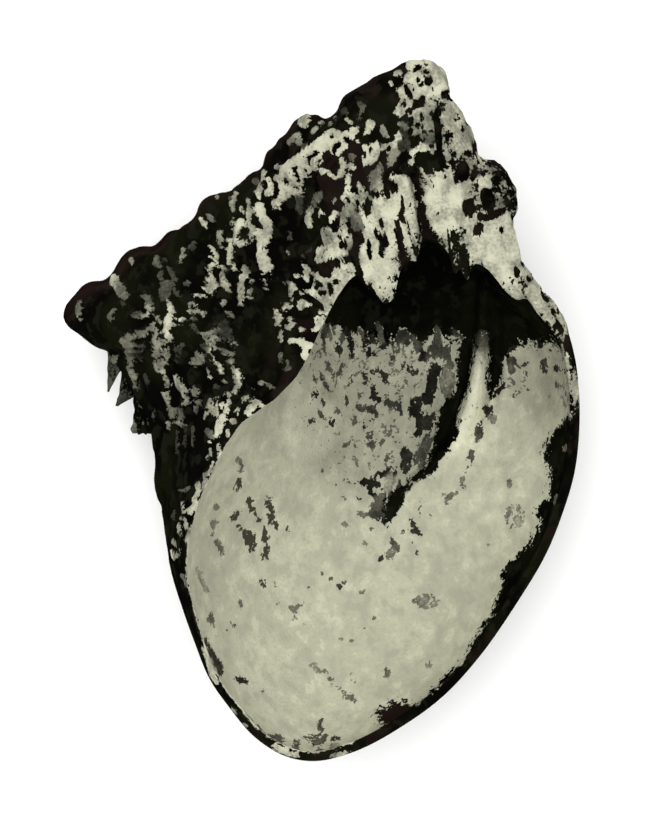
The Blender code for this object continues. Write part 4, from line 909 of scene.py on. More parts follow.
# Grey and dark marks in the bowl, among them the ragged lower edge of the painted shade under the
# hinge and painted shadow in the pit beside the knob, and then paler places in its dark: strokes with
# their shades.
BOWL_MARKS_AND_SHADOWS = [
    (1.3, 4.5, 14.7, 0.59, 5.1, 13.1, 0.47, 5.5, 11.5, 0.51, 5.6, 9.8, 0.24),
    (1.3, 3.3, 11.2, 0.47, 3.4, 10.4, 0.51), (1.3, 7.9, 12.7, 0.67, 7.7, 11.7, 0.47),
    (1.26, 9.3, 14.3, 0.67, 9.1, 12.5, 0.59, 8.5, 11.2, 0.31, 8.5, 10, 0.47, 9.3, 9.8, 0.2),
    (1.3, 11, 11.7, 0.59, 11.8, 12.3, 0.47, 10.8, 11, 0.28),
    (1.3, 18.1, 10.8, 0.31, 18.1, 9.2, 0.59, 17.3, 9, 0.31),
    (1.3, 19.9, 8, 0.59, 20.3, 7.2, 0.98, 19.7, 5.6, 0.98, 19.5, 3.7, 0.98, 18.9, 1.9, 0.98, 16.5,
     1.7, 0.67, 16.5, 0.1, 0.98, 17.5, -0.7, 0.79, 17.5, -2.2, 0.59, 17.3, -4.2, 0.59),
    (1.11, 14.4, 8, 0.28, 15.4, 7.2, 0.35, 17.5, 6.7, 0.2),
    (1.18, 9.3, 3.9, 0.47, 9.4, 2.5, 0.79, 10, 1.9, 0.67),
    (1.04, 9.4, 6.6, 0.28, 10.8, 6.8, 0.47, 11.4, 5.8, 0.59, 11.2, 5.1, 0.31),
    (1.04, 15, -7.1, 0.98, 15.2, -8.5, 0.98, 15, -10.1, 0.98),
    (0.59, 1.4, 8.4, 0.35, 1.8, 7.2, 0.39, 2.4, 6, 0.47, 3.3, 6.4, 0.31, 3.9, 7.8, 0.2),
    (0.71, 0.2, 6.3, 0.28), (0.71, -1, 5.6, 0.35), (0.71, 0.8, 4.9, 0.35, 1.5, 3.7, 0.31, 2.3, 3.3, 0.24),
    (1.18, -0.5, 2.9, 0.47, -1.2, 2.1, 0.2), (0.92, 0.3, 2.1, 0.28, 0.9, 1.1, 0.24),
    (0.81, -1.5, 1.3, 0.18), (0.71, -0.1, -0.1, 0.31, 0.3, -1, 0.35),
    (1.26, 2.4, -1.8, 0.39, 1.8, -2, 0.39, 2.5, -3, 0.2), (0.81, -1.8, -1.9, 0.18, -0.8, -1.8, 0.24),
    (0.81, 4.2, 2.7, 0.28, 4.7, 2.1, 0.35, 4.9, 1.3, 0.31),
    (0.92, 5.6, 6, 0.28, 5.3, 5.3, 0.31, 5.1, 4.5, 0.2), (0.55, 3.2, 0, 0.43, 2.7, -0.4, 0.24),
    (0.63, 2.8, 4.4, 0.2), (0.47, 7.1, 2.3, 0.31), (0.76, 8.1, 5.6, 0.79, 7.7, 6.4, 0.39),
    (0.71, 6.7, 0.9, 0.39, 7.3, 0.1, 0.59, 8.9, 0.7, 0.47, 9.6, -0.3, 0.51),
    (0.76, 12, 2.5, 0.28, 11.8, 1.3, 0.67, 13.8, 0.9, 0.59, 14.2, -0.6, 0.35),
    (0.81, 11.8, 9, 0.28, 12.8, 9.1, 0.39), (1.11, 8.9, -1.4, 0.24, 8, -2, 0.28, 7.7, -3, 0.35),
    (0.55, 5.9, -2.4, 0.35, 6.3, -1.6, 0.2), (0.55, 4.3, -6.1, 0.47, 5.1, -5.8, 0.28),
    (0.67, 8.7, -4.4, 0.59, 9.3, -6, 0.47, 8.5, -6.2, 0.24), (0.63, 10.4, -5.4, 0.28, 11.2, -5.2, 0.28),
    (0.76, 11.9, -7.7, 0.51, 11.6, -8.5, 0.39), (0.55, 0.6, -10.5, 0.39),
    (0.4, 6.3, -8.5, 0.39, 6.7, -9.5, 0.2), (0.44, 12.4, -4.2, 0.59, 11.2, -2.8, 0.2),
    (0.47, 17.3, 3.5, 0.31), (0.4, 15.2, 5.4, 0.24, 13.8, 3.7, 0.28),
    (0.63, 0.2, 10.6, 0.28, 1, 10.8, 0.39), (0.86, 0.6, 13.3, 0.79, 1.4, 14.7, 0.67),
    (0.55, 3.7, 12.5, 0.59, 4.1, 13.3, 0.39), (1.3, 7.6, -12.4, 0.74, 6.8, -12.4, 0.37),
    (1.3, 9.2, -12.8, 0.93, 10.2, -12.8, 0.56),
    (1.3, 9.8, -11.3, 0.45, 11.1, -10.9, 0.56, 12.9, -10.4, 0.56), (1.3, 9, -14.3, 0.63),
    (1.3, 15.6, -12.8, 0.63, 14.6, -14.1, 0.74, 13.7, -15.4, 0.93, 12.9, -16.7, 0.93, 12.2, -18.2,
     0.82, 11.3, -19.1, 0.63),
    (0.92, 13.7, -13, 0.82), (0.59, 10.7, -15.2, 1.11, 10, -16.3, 0.93),
    (0.73, 9.8, -17.8, 1.3, 11.5, -17.6, 0.74), (0.47, 7.4, -18, 0.74),
    (1.18, 12.2, -14.8, 0.45, 12.9, -15.2, 0.37), (0.71, 4.6, -12.2, 0.48), (0.63, 2.6, -12.7, 0.3),
    (0.44, 4.5, -15.2, 0.37), (0.81, 7, -15.2, 0.41), (0.37, 4, -19.5, 0.26, 4.4, -20, 0.45),
    (0.31, 7.8, -23, 0.37), (0.63, 9, -20.6, 0.48),
    (1.07, 15.9, -18.7, 0.3, 16.3, -19.7, 0.45, 16.5, -20.8, 0.63, 17.6, -21.3, 0.37),
    (0.92, 14.6, -21.2, 0.37), (0.71, 16.1, -23, 0.22), (0.71, 17, -24.1, 0.26, 16.9, -24.9, 0.17),
    (0.55, 17.6, -15.6, 0.17, 17.4, -17.1, 0.19, 17.3, -18.2, 0.26), (0.44, 19.1, -18.2, 0.3),
    (0.7, 12.4, -22.5, 0.45, 13.1, -23.2, 0.56, 13.7, -24.5, 0.26), (0.44, 12.4, -24.9, 0.93),
    (1.04, 11.1, -25.2, 0.3, 10.5, -26, 0.45), (0.76, 27.6, -2.9, 0.63, 27.6, -4.2, 0.63, 27.5, -5.5, 0.26),
    (0.86, 26.5, -7, 0.48, 26.3, -8, 0.63, 26.5, -9.3, 0.22, 25.8, -10, 0.17),
    (0.4, 25.2, -11.1, 0.37, 24.8, -12.1, 0.45, 25, -13.5, 0.26),
    (0.55, 23.7, -14.3, 0.37, 22.1, -14.8, 0.56, 22.1, -16, 0.26), (0.55, 27.4, 0.7, 0.22),
    (0.34, 29.1, -23.2, 0.3), (1.3, 29.3, 0.6, 0.87, 29.8, -0.1, 0.7), (1.18, 28.7, -1.2, 0.42),
    (0.83, 27.7, -2.7, 0.7, 27.9, -3.8, 0.7), (0.44, 30.1, -1.3, 0.87),
    (1.26, 31.9, 4.3, 0.35, 31, 3.4, 0.35), (1.3, 32.9, 11.3, 1.22), (0.92, 33.3, 8.8, 0.87),
    (0.67, 33.5, 7.4, 0.87), (0.76, 35.4, 7.9, 0.35, 36.3, 8.5, 0.21),
    (0.71, 35.4, 6.7, 0.17, 36.4, 6.7, 0.28), (0.76, 38.7, 8.5, 0.59, 39.1, 7.1, 0.45),
    (1.04, 40.8, 7.6, 0.42, 41.1, 6.7, 0.35, 41.9, 7.2, 0.28), (1.18, 39.8, 10.4, 0.28),
    (0.55, 40.8, 4.8, 0.17), (0.4, 41.3, 4.1, 0.24), (0.71, 39.7, 2.5, 0.24),
    (0.63, 33.7, 2.9, 0.17, 33.8, 2.3, 0.17), (0.55, 36.2, 3.6, 0.17), (0.4, 40.6, 0.5, 0.21),
    (1.3, 38.2, 11.3, 0.42), (0.43, -13.9, -8.4, 0.5, -13.2, -9.4, 0.25, -13.6, -10.4, 0.4),
    (0.43, -16.5, -11.3, 0.2), (0.43, -17.7, -16.4, 0.54), (0.43, -17.5, -22.5, 0.5, -16.5, -24.7, 0.3),
    (0.25, -21.1, -26.7, 0.26, -20.4, -28.1, 0.39, -19.9, -29.3, 0.39, -19.3, -30.7, 0.46),
    (0.42, -18, -19.1, 0.72, -18.2, -20, 0.33, -18.4, -21.3, 0.18),
    (1.05, -19.4, -38.8, 0.26, -18.7, -40.8, 0.34, -17.9, -42.3, 0.5, -17, -43.8, 0.71, -16.7, -44.8,
     0.31),
    (1.2, -14.2, -45.6, 0.31, -13.7, -46.3, 0.5, -12.9, -46.1, 0.37, -12.4, -46.6, 0.29),
    (0.85, -10.1, -29.5, 0.45, -10, -29.9, 0.37, -9.4, -30.5, 0.18),
    (0.5, -8.1, -29.6, 0.24, -7.9, -30.3, 0.18),
    (0.5, -13.5, -32.5, 0.24, -13.7, -32.9, 0.18, -13.5, -33.4, 0.24),
    (0.5, -15.3, -36.3, 0.18, -14.9, -36.8, 0.26), (0.5, -15.8, -37.7, 0.16), (0.5, -13.9, -38.6, 0.16),
    (0.4, -18.3, -38.4, 0.21), (0.5, -18.6, -34.6, 0.29, -18.7, -35.6, 0.58, -18.2, -36.6, 0.34),
    (0.8, -20.5, -35.6, 0.26), (0.75, 2, -29.3, 0.45),
    (0.95, 3.2, -30.1, 0.31, 3.6, -30.5, 0.5, 3.5, -31, 0.29), (0.7, 4, -29.9, 0.24, 4.7, -29.6, 0.18),
    (0.45, -2, -30.5, 0.21), (0.5, 0.1, -31.9, 0.18), (0.6, -4.2, -27.9, 0.18), (0.6, 0.5, -28.3, 0.16),
    (0.4, -7.6, -33.4, 0.24, -7.1, -33.1, 0.21),
    (0.42, -5.2, -33.8, 0.24, -4.8, -34.6, 0.29, -4, -34.1, 0.39, -3.3, -33.7, 0.26),
    (0.42, -4.1, -35, 0.34, -4.1, -36, 0.34), (0.4, -2.8, -37.1, 0.37),
    (0.42, 7.3, -31.7, 0.37, 7.6, -31.4, 0.26), (0.6, 9.4, -36.2, 0.29), (0.6, 7.6, -37.7, 0.18),
    (0.3, 3.9, -39.8, 0.34), (0.3, 5.5, -39.8, 0.29, 6.3, -39.7, 0.18), (0.5, 16.5, -33.1, 0.58),
    (0.36, -1.7, -44.2, 0.34, -0.8, -43.9, 0.39, -0.6, -44.7, 0.45, 0.5, -45, 0.39, 1.4, -45.3, 0.24),
    (0.38, 1.5, -46.5, 0.58, 1.9, -47.1, 0.34), (0.36, 2.5, -47.7, 0.24, 3.4, -48.1, 0.24),
    (0.58, 4.2, -48.6, 0.37, 5.2, -49.4, 0.52, 6, -50.2, 0.29), (0.36, 5.5, -46, 0.26, 6, -47.1, 0.26),
    (0.56, 11.4, -44.7, 0.37, 11.6, -45.5, 0.55, 11.4, -46, 0.37), (0.36, -9.9, -48.3, 0.29),
    (0.78, 0.2, -53.4, 0.42, 0.1, -54.4, 0.47, 0.5, -55.4, 0.55, 1, -56.1, 0.34),
    (0.82, -2.4, -56, 0.29, -1.6, -56.4, 0.5, -0.3, -56.1, 0.24),
    (0.8, -1.1, -56.9, 0.37, 0.8, -56.6, 0.55, 1, -57.2, 0.34), (0.95, 2.6, -56.2, 0.47, 3.5, -56.2, 0.18),
    (0.74, -4, -56.8, 0.6, -3.7, -57.8, 0.45, -3.4, -58.5, 0.24), (0.7, -4.8, -57.3, 0.34),
    (0.66, 0, -58.1, 0.52, 1, -59, 0.42), (0.3, 2.6, -57.8, 1.05, 3.4, -58.6, 0.52),
    (0.7, -8.2, -55.7, 0.29, -7.1, -56, 0.6, -6.3, -56.4, 0.29),
    (1.05, -17.2, -47.3, 0.24, -16.3, -48.6, 0.34),
    (1.05, -15.3, -49.7, 0.37, -14.2, -50.7, 0.47, -13.4, -51.8, 0.39),
    (1.1, -12.6, -52.6, 0.63, -11.3, -53.9, 0.76, -10.3, -55.2, 0.87, -9.2, -56, 0.73, -8.7, -56.8,
     0.52),
]
BOWL_SCRAPS = [
    (0.63, 6.5, 14.4, 0.31, 7.2, 13.7, 0.55), (0.71, 10, 15.1, 0.51, 10.6, 13.9, 0.51, 10.7, 12.5, 0.51),
    (0.98, 14.4, 13.5, 0.98, 15.4, 12.5, 0.79, 13.8, 12.5, 0.59, 16.3, 13.3, 0.39),
    (0.81, 20.5, 14.3, 0.51, 20.6, 12.9, 0.59, 20.7, 11.5, 0.79, 19.9, 10.4, 0.98, 19.3, 9.6, 0.67),
    (0.67, 22.2, 11.2, 0.59, 22.4, 10.2, 0.59, 21.4, 9.6, 0.59, 23, 8.4, 0.47),
    (0.76, 23.2, 14.1, 0.31, 24, 13.5, 0.47, 24.9, 12.7, 0.28),
    (0.4, 22.4, 6.8, 0.59, 22.4, 5.3, 1.38, 22.2, 3.7, 0.98, 22.4, 2.7, 0.59),
    (0.67, 16.7, 12.1, 0.39, 17.1, 11.5, 0.67, 16.5, 10.2, 0.51),
    (1.11, 19.3, -1.2, 0.98, 18.9, -2.6, 0.79),
    (0.64, 18.9, -5, 0.79, 18.3, -6.6, 0.79, 17.5, -8.1, 0.98, 17.7, -9.3, 0.67),
    (0.59, 13.4, 10.8, 0.59, 12.8, 11.2, 0.39), (0.55, 2.6, 14.3, 0.47, 3.2, 14.9, 0.31),
    (0.44, 2.2, 13.1, 0.47, 2.6, 13.5, 0.39),
    (0.18, 12.4, -11.9, 0.85, 12.2, -12.8, 0.93, 11.9, -13.5, 0.63),
    (0.5, 42.2, -5.6, 0.25, 42.1, -6.9, 0.3), (0.6, 40.7, -14.4, 0.25, 40.5, -15.8, 0.3),
]
# How much of the bowl is speckled grey, in zones and in spots: middle x and y, half width and height,
# turn in degrees, share. The zones paint the half shade round the painted shade under the hinge, in the
# pit, the groove and along the margin, as grey specks.
GREY_ZONE = [
    (11, 1, 15.5, 13.5, 0, 0.13), (14.5, -4, 6, 8, -20, 0.2), (3, 9, 9, 4, 0, 0.22),
    (14, 8.8, 9, 3.4, 0, 0.3), (34, 6, 2, 3.4, 0, 0.3), (43, 3, 1.8, 3.2, 0, 0.45),
]
GREY_SPOTS = [
    (18.6, -33.1, 2.1, 1.3, 0, 0.76), (18.8, -43.9, 0.9, 0.7, 0, 0.8), (33.7, -18.2, 1.8, 2.4, 0, 0.55),
    (33, -12.5, 0.5, 0.9, 0, 0.8),
]
# The shade of these specks where no mark gives another.
SPECK_SHADE = 0.36
# How much dimmer than clean shell the bowl's tone is painted, in the same form: painted shade in the
# half shadow at the upper left, right of the groove and under the hinge. Below nought it is lighter:
# painted light where the bowl's own slope would shade it.
BOWL_PAINTED_SHADING = [
    (10, -1.5, 12.5, 12, 0, 0.11), (38.5, 5.5, 5, 6.5, 0, 0.09), (-1.5, -2.5, 4.6, 5.5, 0, -0.05),
    (31, -12, 9, 9, 0, -0.04), (-6, -40, 13, 15, 0, -0.03), (5.5, 8.5, 9, 4, 0, 0.06),
]


def inside_band(y, level, left, right, x):
    """How far a place lies inside a band with the given left and right edges, across the band."""
    down = -np.array(level)
    return np.minimum(x - np.interp(-y, down, left), np.interp(-y, down, right) - x)


def bowl_painted_shade(x, y, side, half, knob):
    """How far a place lies inside the bowl's painted shade, as a measure: under the hinge, in the pit, in
    the groove, and in the margin's painted shadow. The ridge and the knob stand clear of it."""
    cave = y - np.interp(x, CAVE_X, CAVE_Y)
    cave = np.where(cave > 0.0, cave * 0.9, cave * 0.6)
    cave = np.minimum(cave, (np.abs(side) - half) * 2.2 + 8.0 * smooth(13.6, 15.2, y))
    pit = inside_band(y, PIT_Y, PIT_LEFT, PIT_RIGHT, x) * 1.8 - SURE * ((y < -20.6) | (y > 16.0))
    pit = np.minimum(pit, knob * 4.0)
    groove = inside_band(y, GROOVE_Y, GROOVE_LEFT, GROOVE_RIGHT, x) * 1.8
    groove -= SURE * ((y < 1.6) | (y > 16.0))
    return np.maximum.reduce([cave, pit, groove, painted_margin_shadow(x, y) * 1.5])


def bowl_look(points, turn):
    """For the bowl: the fine relief, and the measures that its colours are made from, painted shade,
    painted shadow and a painted highlight among them.
    """
    shape = points.shape[:2]
    p = points.reshape(-1, 3)
    x, y = p[:, 0], p[:, 1]
    turn = np.broadcast_to(turn[:, None], shape).ravel()
    rough = standard(value_noise(p, 2.2, 21) + 0.6 * value_noise(p, 1.0, 22))
    side, half = ridge_side(x, y), np.interp(y, RIDGE_Y, RIDGE_HALF)
    knob = np.hypot(x - KNOB[0], y - KNOB[1]) - KNOB_RADIUS
    scrap, scrap_shade = strokes(x, y, BOWL_SCRAPS)
    # The bowl's dark is painted shade, with paler scraps of shell drawn in it.
    pale = np.maximum(-bowl_painted_shade(x, y, side, half, knob), np.minimum(STROKE_EDGE * scrap, STROKE_MOST))
    grey = odds(np.maximum(patches(x, y, 0.02, GREY_ZONE), patches(x, y, 0.0, GREY_SPOTS)))
    mark, mark_shade = strokes(x, y, BOWL_MARKS_AND_SHADOWS)
    grey = np.maximum(grey, np.clip(STROKE_EDGE * mark, -SURE, STROKE_MOST))
    grey = np.where(scrap > -0.1, STROKE_MOST, np.where(knob < 0.0, -1.5, grey))
    shade = np.where(mark > -SHADE_REACH, mark_shade, SPECK_SHADE)
    shade = np.where(scrap > -SHADE_REACH, scrap_shade, shade)
    # Painted shade: the ridge's crest darkens as it runs up into the painted shade under the hinge.
    crest = smooth(8.5, 14.5, y) * (np.abs(side) < half + 0.8)
    grey = np.where(crest > 0.0, STROKE_MOST, grey)
    shade = np.where(crest > 0.0, 1.05 * crest, shade)
    painted_shading = patches(x, y, 0.0, BOWL_PAINTED_SHADING)
    # A painted highlight: the ridge's crest is painted lighter down the middle of the bowl.
    lit = smooth(-13.0, -5.0, y) * smooth(10.0, 6.0, y) * smooth(half + 0.9, half - 0.2, np.abs(side))
    painted_shading += lit * (-0.16 - painted_shading)
    brown = np.clip(3.0 * inside_strokes(x, y, BRUISES), -SURE, STROKE_MOST)
    relief = 0.03 * rough - 0.22 * smooth(-3.0, 1.6, brown) - 0.12 * smooth(0.0, 1.3, grey)
    looks = {
        "pale": np.clip(pale, -SURE, SURE),
        "grey": grey,
        "shade": shade,
        "brown": brown,
        "rust": smooth(4.0, 2.4, np.hypot((x - 14.6) * 0.55, y + 52.6)),
        "outside": np.zeros(len(x)),
        "streaky": 0.7 * smooth(4.0, 9.0, y) * smooth(28.0, 24.0, x),
        "painted_shading": painted_shading,
    }
    return (relief * smooth(1.0, 0.97, turn)).reshape(shape), looks


# The bowl's rings by their turn, and how many lines each ring leaves out, from the low point to the
# rim. Then the same from the rim to the foot, and how many of those rings cross the outer face where
# it is narrow, and how many more where it is wide.
INNER_TURN = np.concatenate([np.linspace(0.02, 0.20, 13), np.linspace(0.21, 0.985, 68)])
INNER_SKIPS = [16] * 3 + [8] * 3 + [4] * 7 + [2] * 68
OUTER_SKIPS = [1] * 57 + [2] * 13 + [4] * 12
FACE_RINGS = (10.0, 46.0)


def shell_skin():
    """The whole skin as rings of points from the bowl's low point to the foot, with each point's
    colour measures. Between the rim and the outline the rings stand closer where that face is wide."""
    inner = bowl_skin(INNER_TURN)
    inner_fine, inner_looks = bowl_look(inner, INNER_TURN)
    inner[..., 2] += inner_fine

    last = len(OUTER_SKIPS) - 1
    step = np.arange(last + 1)[:, None]
    wide = smooth(-35.5, -31.0, from_cleft) * smooth(19, 13, from_cleft)
    before = FACE_RINGS[0] + FACE_RINGS[1] * wide
    course = np.where(step <= before, step / before, 1.0 + (step - before) / (last - before))
    outer = np.where((course <= 1.0)[..., None], upper_face(course), under_face(course))
    outer += outward(outer) * outer_relief(outer, course)[..., None]
    outer[..., 2] += np.where(course < 1.0, teeth(outer), 0.0)
    outer_fine, outer_looks = outer_look(outer, course)
    outer += outward(outer) * outer_fine[..., None]
    outer[-1, :, 2] = 0.0
    inner[-2:, :, 2] += teeth(inner[-2:]) * np.array([0.4, 0.7])[:, None]

    rings = np.concatenate([inner, outer])
    looks = {name: np.concatenate([inner_looks[name], outer_looks[name]]) for name in outer_looks}
    return rings, looks


def bridge(first, second):
    """The faces between two neighbouring rings of point numbers, where one may have twice the points."""
    if len(first) == len(second):
        ahead_first, ahead_second = np.roll(first, -1), np.roll(second, -1)
        return np.concatenate([
            np.column_stack([first, ahead_first, ahead_second]),
            np.column_stack([first, ahead_second, second]),
        ])
    turned = len(first) > len(second)
    few, many = (second, first) if turned else (first, second)
    a, b, c = many[0::2], many[1::2], np.roll(many[0::2], -1)
    ahead = np.roll(few, -1)
    made = np.concatenate([
        np.column_stack([few, b, a]),
        np.column_stack([few, ahead, b]),
        np.column_stack([ahead, c, b]),
    ])
    return made[:, ::-1] if turned else made


def closed_skin():
    """The closed skin's points, triangles and colour measures, with a fan of triangles at the bowl's
    low point and at the middle of the foot."""
    rings, looks = shell_skin()
    count, lines = rings.shape[:2]
    chosen = [np.arange(0, lines, skip) + ring * lines for ring, skip in enumerate(INNER_SKIPS + OUTER_SKIPS)]
    picked = np.concatenate(chosen)
    number = np.cumsum([0] + [len(c) for c in chosen])
    numbered = [np.arange(number[i], number[i + 1]) for i in range(count)]
    points = rings.reshape(-1, 3)[picked]
    low_z = BOWL_LOW[2] + bowl_relief(BOWL_LOW[:1], BOWL_LOW[1:2])[0]
    ends = np.array([(BOWL_LOW[0], BOWL_LOW[1], low_z), (*FOOT_CENTRE, 0.0)])
    triangles = [bridge(a, b) for a, b in zip(numbered[:-1], numbered[1:])]
    middle, base = len(points), len(points) + 1
    first, last = numbered[0], numbered[-1]
    triangles.append(np.column_stack([np.full_like(first, middle), np.roll(first, -1), first]))
    triangles.append(np.column_stack([np.full_like(last, base), last, np.roll(last, -1)]))
    looks = {name: np.append(values[picked], values[[0, -1]]) for name, values in looks.items()}
    return np.vstack([points, ends]), np.concatenate(triangles), looks


def piece(name, points, triangles, looks):
    """A mesh object from points in millimetres, with its colour measures as attributes of the points."""
    mesh = bpy.data.meshes.new(name)
    mesh.vertices.add(len(points))
    mesh.vertices.foreach_set("co", (points * 0.001).astype(np.float32).ravel())
    mesh.loops.add(3 * len(triangles))
    mesh.loops.foreach_set("vertex_index", triangles.astype(np.int32).ravel())
    mesh.polygons.add(len(triangles))
    mesh.polygons.foreach_set("loop_start", np.arange(0, 3 * len(triangles), 3, dtype=np.int32))
    mesh.update(calc_edges=True)
    mesh.shade_smooth()
    for label, values in looks.items():
        mesh.attributes.new(label, "FLOAT", "POINT").data.foreach_set("value", values.astype(np.float32))
    made = bpy.data.objects.new(name, mesh)
    bpy.context.scene.collection.objects.link(made)
    return made


points, triangles, looks = closed_skin()
valve = piece("valve", points, triangles, looks)

# The shell's finish: chalky, matt shell of a pale grey green, freckled with grey where it is worn, brown
# where it is bruised, and nearly black where shade is painted: under the hinge, in the pit and the
# groove, along the right margin, and in the outer face's low places with the dark matrix still in them.
# FULL_SHADE is the part of its own colour that shell keeps at a shade of 1.
SHELL_DULL, SHELL_CLEAR = (0.365, 0.362, 0.272, 1), (0.420, 0.420, 0.315, 1)
SHELL_WORN, SHELL_BRIGHT = (0.315, 0.312, 0.240, 1), (0.475, 0.478, 0.355, 1)
SHELL_GRAIN = (0.29, 0.29, 0.22, 1)
BRUISE_BROWN = (0.050, 0.043, 0.030, 1)
SHADE_AND_MATRIX_BLACK, SHADE_AND_MATRIX_GREEN = (0.0018, 0.0017, 0.0014, 1), (0.0045, 0.0052, 0.0022, 1)
SHADE_AND_MATRIX_LIGHTER, SHADE_AND_MATRIX_EDGE = (0.0075, 0.0082, 0.0045, 1), (0.030, 0.031, 0.022, 1)
RUST_BROWN = (0.013, 0.0072, 0.0060, 1)
FULL_SHADE = 0.082


def linked(tree, kind, settings, **inputs):
    """One node, with its settings, and its inputs given as plain values or as other nodes' outputs."""
    made = tree.nodes.new(kind)
    for name, value in settings.items():
        setattr(made, name, value)
    for name, value in inputs.items():
        socket = made.inputs[int(name[1:])] if name[0] == "i" and name[1:].isdigit() else made.inputs[name]
        if isinstance(value, bpy.types.NodeSocket):
            tree.links.new(value, socket)
        else:
            socket.default_value = value
    return made


def shell_finish(name):
    """Pale shell with grey specks, brown bruises, and near black for painted shade and dark matrix. Each of
    these lies where a measure of the points and noises, which give it its ragged edge, together come out
    above nought."""
    material = bpy.data.materials.new(name)
    material.use_nodes = True
    tree = material.node_tree
    shader = tree.nodes["Principled BSDF"]
    place = tree.nodes.new("ShaderNodeTexCoord").outputs["Object"]

    def math_of(operation, a, b):
        return linked(tree, "ShaderNodeMath", {"operation": operation}, i0=a, i1=b).outputs[0]

    def noise(width, length, turn, detail=2.0, distortion=0.0, weight=1.0):
        """Noise round nought with a spread of about the weight, in cells of the given width and length
        in millimetres, whose long way is turned by so many degrees from the beak's direction."""
        scale = (width * 0.001, length * 0.001, length * 0.001)
        laid = linked(tree, "ShaderNodeMapping", {"vector_type": "TEXTURE"}, Vector=place,
                      Rotation=(0.0, 0.0, math.radians(turn)), Scale=scale)
        made = linked(tree, "ShaderNodeTexNoise", {}, Vector=laid.outputs[0], Scale=1.0, Detail=detail,
                      Roughness=0.55, Distortion=distortion)
        return linked(tree, "ShaderNodeMapRange", {"clamp": False}, i0=made.outputs["Fac"], i1=0.37, i2=0.63,
                      i3=-weight, i4=weight).outputs[0]

    def measure(label):
        return linked(tree, "ShaderNodeAttribute", {"attribute_name": label}).outputs["Fac"]

    def ramp(value, low, high, first=0.0, last=1.0):
        return linked(tree, "ShaderNodeMapRange", {"interpolation_type": "SMOOTHSTEP"}, i0=value, i1=low,
                      i2=high, i3=first, i4=last).outputs[0]

    def blend(share, a, b):
        return linked(tree, "ShaderNodeMix", {"data_type": "RGBA"}, i0=share, i6=a, i7=b).outputs[2]

    def mixed(share, a, b):
        return linked(tree, "ShaderNodeMix", {"data_type": "FLOAT"}, i0=share, i2=a, i3=b).outputs[0]

    def shaded(colour, shade):
        return linked(tree, "ShaderNodeVectorMath", {"operation": "SCALE"}, i0=colour,
                      Scale=math_of("POWER", FULL_SHADE, shade)).outputs[0]

    edge = mixed(measure("streaky"), noise(1.5, 1.7, 0.0, 2.0, 0.3), noise(0.95, 4.6, 4.0, 2.0, 0.4))
    edge = math_of("ADD", measure("pale"), math_of("MULTIPLY", edge, 0.62))
    edge = math_of("ADD", edge, noise(0.50, 0.55, 0.0, 2.0, 0.0, 0.55))
    freckle = math_of("ADD", measure("grey"), noise(1.1, 1.3, 8.0, 3.0, 0.3, 0.85))
    freckle = math_of("ADD", freckle, noise(0.42, 0.42, 0.0, 1.0, 0.0, 0.45))
    bruise = math_of("ADD", measure("brown"), noise(0.7, 0.8, 0.0, 3.0, 0.0, 1.0))
    cloud = noise(9.0, 12.0, 15.0)
    blotch = noise(2.4, 3.0, 10.0)
    grain = noise(0.5, 0.5, 0.0)

    shell = blend(ramp(cloud, -1.2, 1.2), SHELL_DULL, SHELL_CLEAR)
    shell = blend(ramp(blotch, -0.2, 1.3, 0.0, 0.75), shell, SHELL_WORN)
    shell = blend(ramp(blotch, -0.4, -1.3, 0.0, 0.70), shell, SHELL_BRIGHT)
    shell = blend(ramp(grain, -0.4, 1.6, 0.0, 0.35), shell, SHELL_GRAIN)
    # Painted shade and painted light on the bowl's tone.
    shell = shaded(shell, measure("painted_shading"))
    mottle = math_of("ADD", math_of("MULTIPLY", blotch, 0.10), math_of("MULTIPLY", grain, 0.07))
    shade = math_of("MAXIMUM", math_of("ADD", measure("shade"), mottle), 0.0)
    shell = blend(ramp(freckle, -0.06, 0.06), shell, shaded(shell, shade))
    shell = blend(ramp(bruise, -0.05, 0.05), shell, BRUISE_BROWN)

    # The near black of painted shade, and of dark matrix with shade painted on it.
    dark = blend(ramp(cloud, -0.6, 1.0), SHADE_AND_MATRIX_BLACK, SHADE_AND_MATRIX_GREEN)
    dark = blend(ramp(blotch, 0.1, 0.9, 0.0, 0.8), dark, SHADE_AND_MATRIX_LIGHTER)
    dark = blend(math_of("MULTIPLY", measure("rust"), 0.85), dark, RUST_BROWN)
    dark = blend(ramp(edge, -0.30, -0.20), dark, SHADE_AND_MATRIX_EDGE)
    colour = blend(ramp(edge, 0.05, -0.05), shell, dark)
    tree.links.new(colour, shader.inputs["Base Color"])
    tree.links.new(ramp(edge, -0.5, 0.5, 0.95, 0.78), shader.inputs["Roughness"])
    shader.inputs["Specular IOR Level"].default_value = 0.0
    inside = math_of("SUBTRACT", 1.0, measure("outside"))
    height = math_of("ADD", ramp(edge, -0.9, 0.5, 0.0, 0.45), math_of("MULTIPLY", grain, 0.05))
    height = math_of("SUBTRACT", height, math_of("MULTIPLY", ramp(freckle, -0.4, 0.8, 0.0, 0.18), inside))
    bump = linked(tree, "ShaderNodeBump", {}, Strength=0.7, Distance=0.0005, Height=height)
    tree.links.new(bump.outputs[0], shader.inputs["Normal"])
    return material


shell = shell_finish("worn_shell")
valve.data.materials.append(shell)
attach(valve, "root")
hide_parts("lower_valve")

# The hanging scales
#
# Three flat blades that grew out of the left flank as part of the shell and hang from it, one ending
# in a worn fringe. They are of the same stained, speckled shell. Lengths are in millimetres.

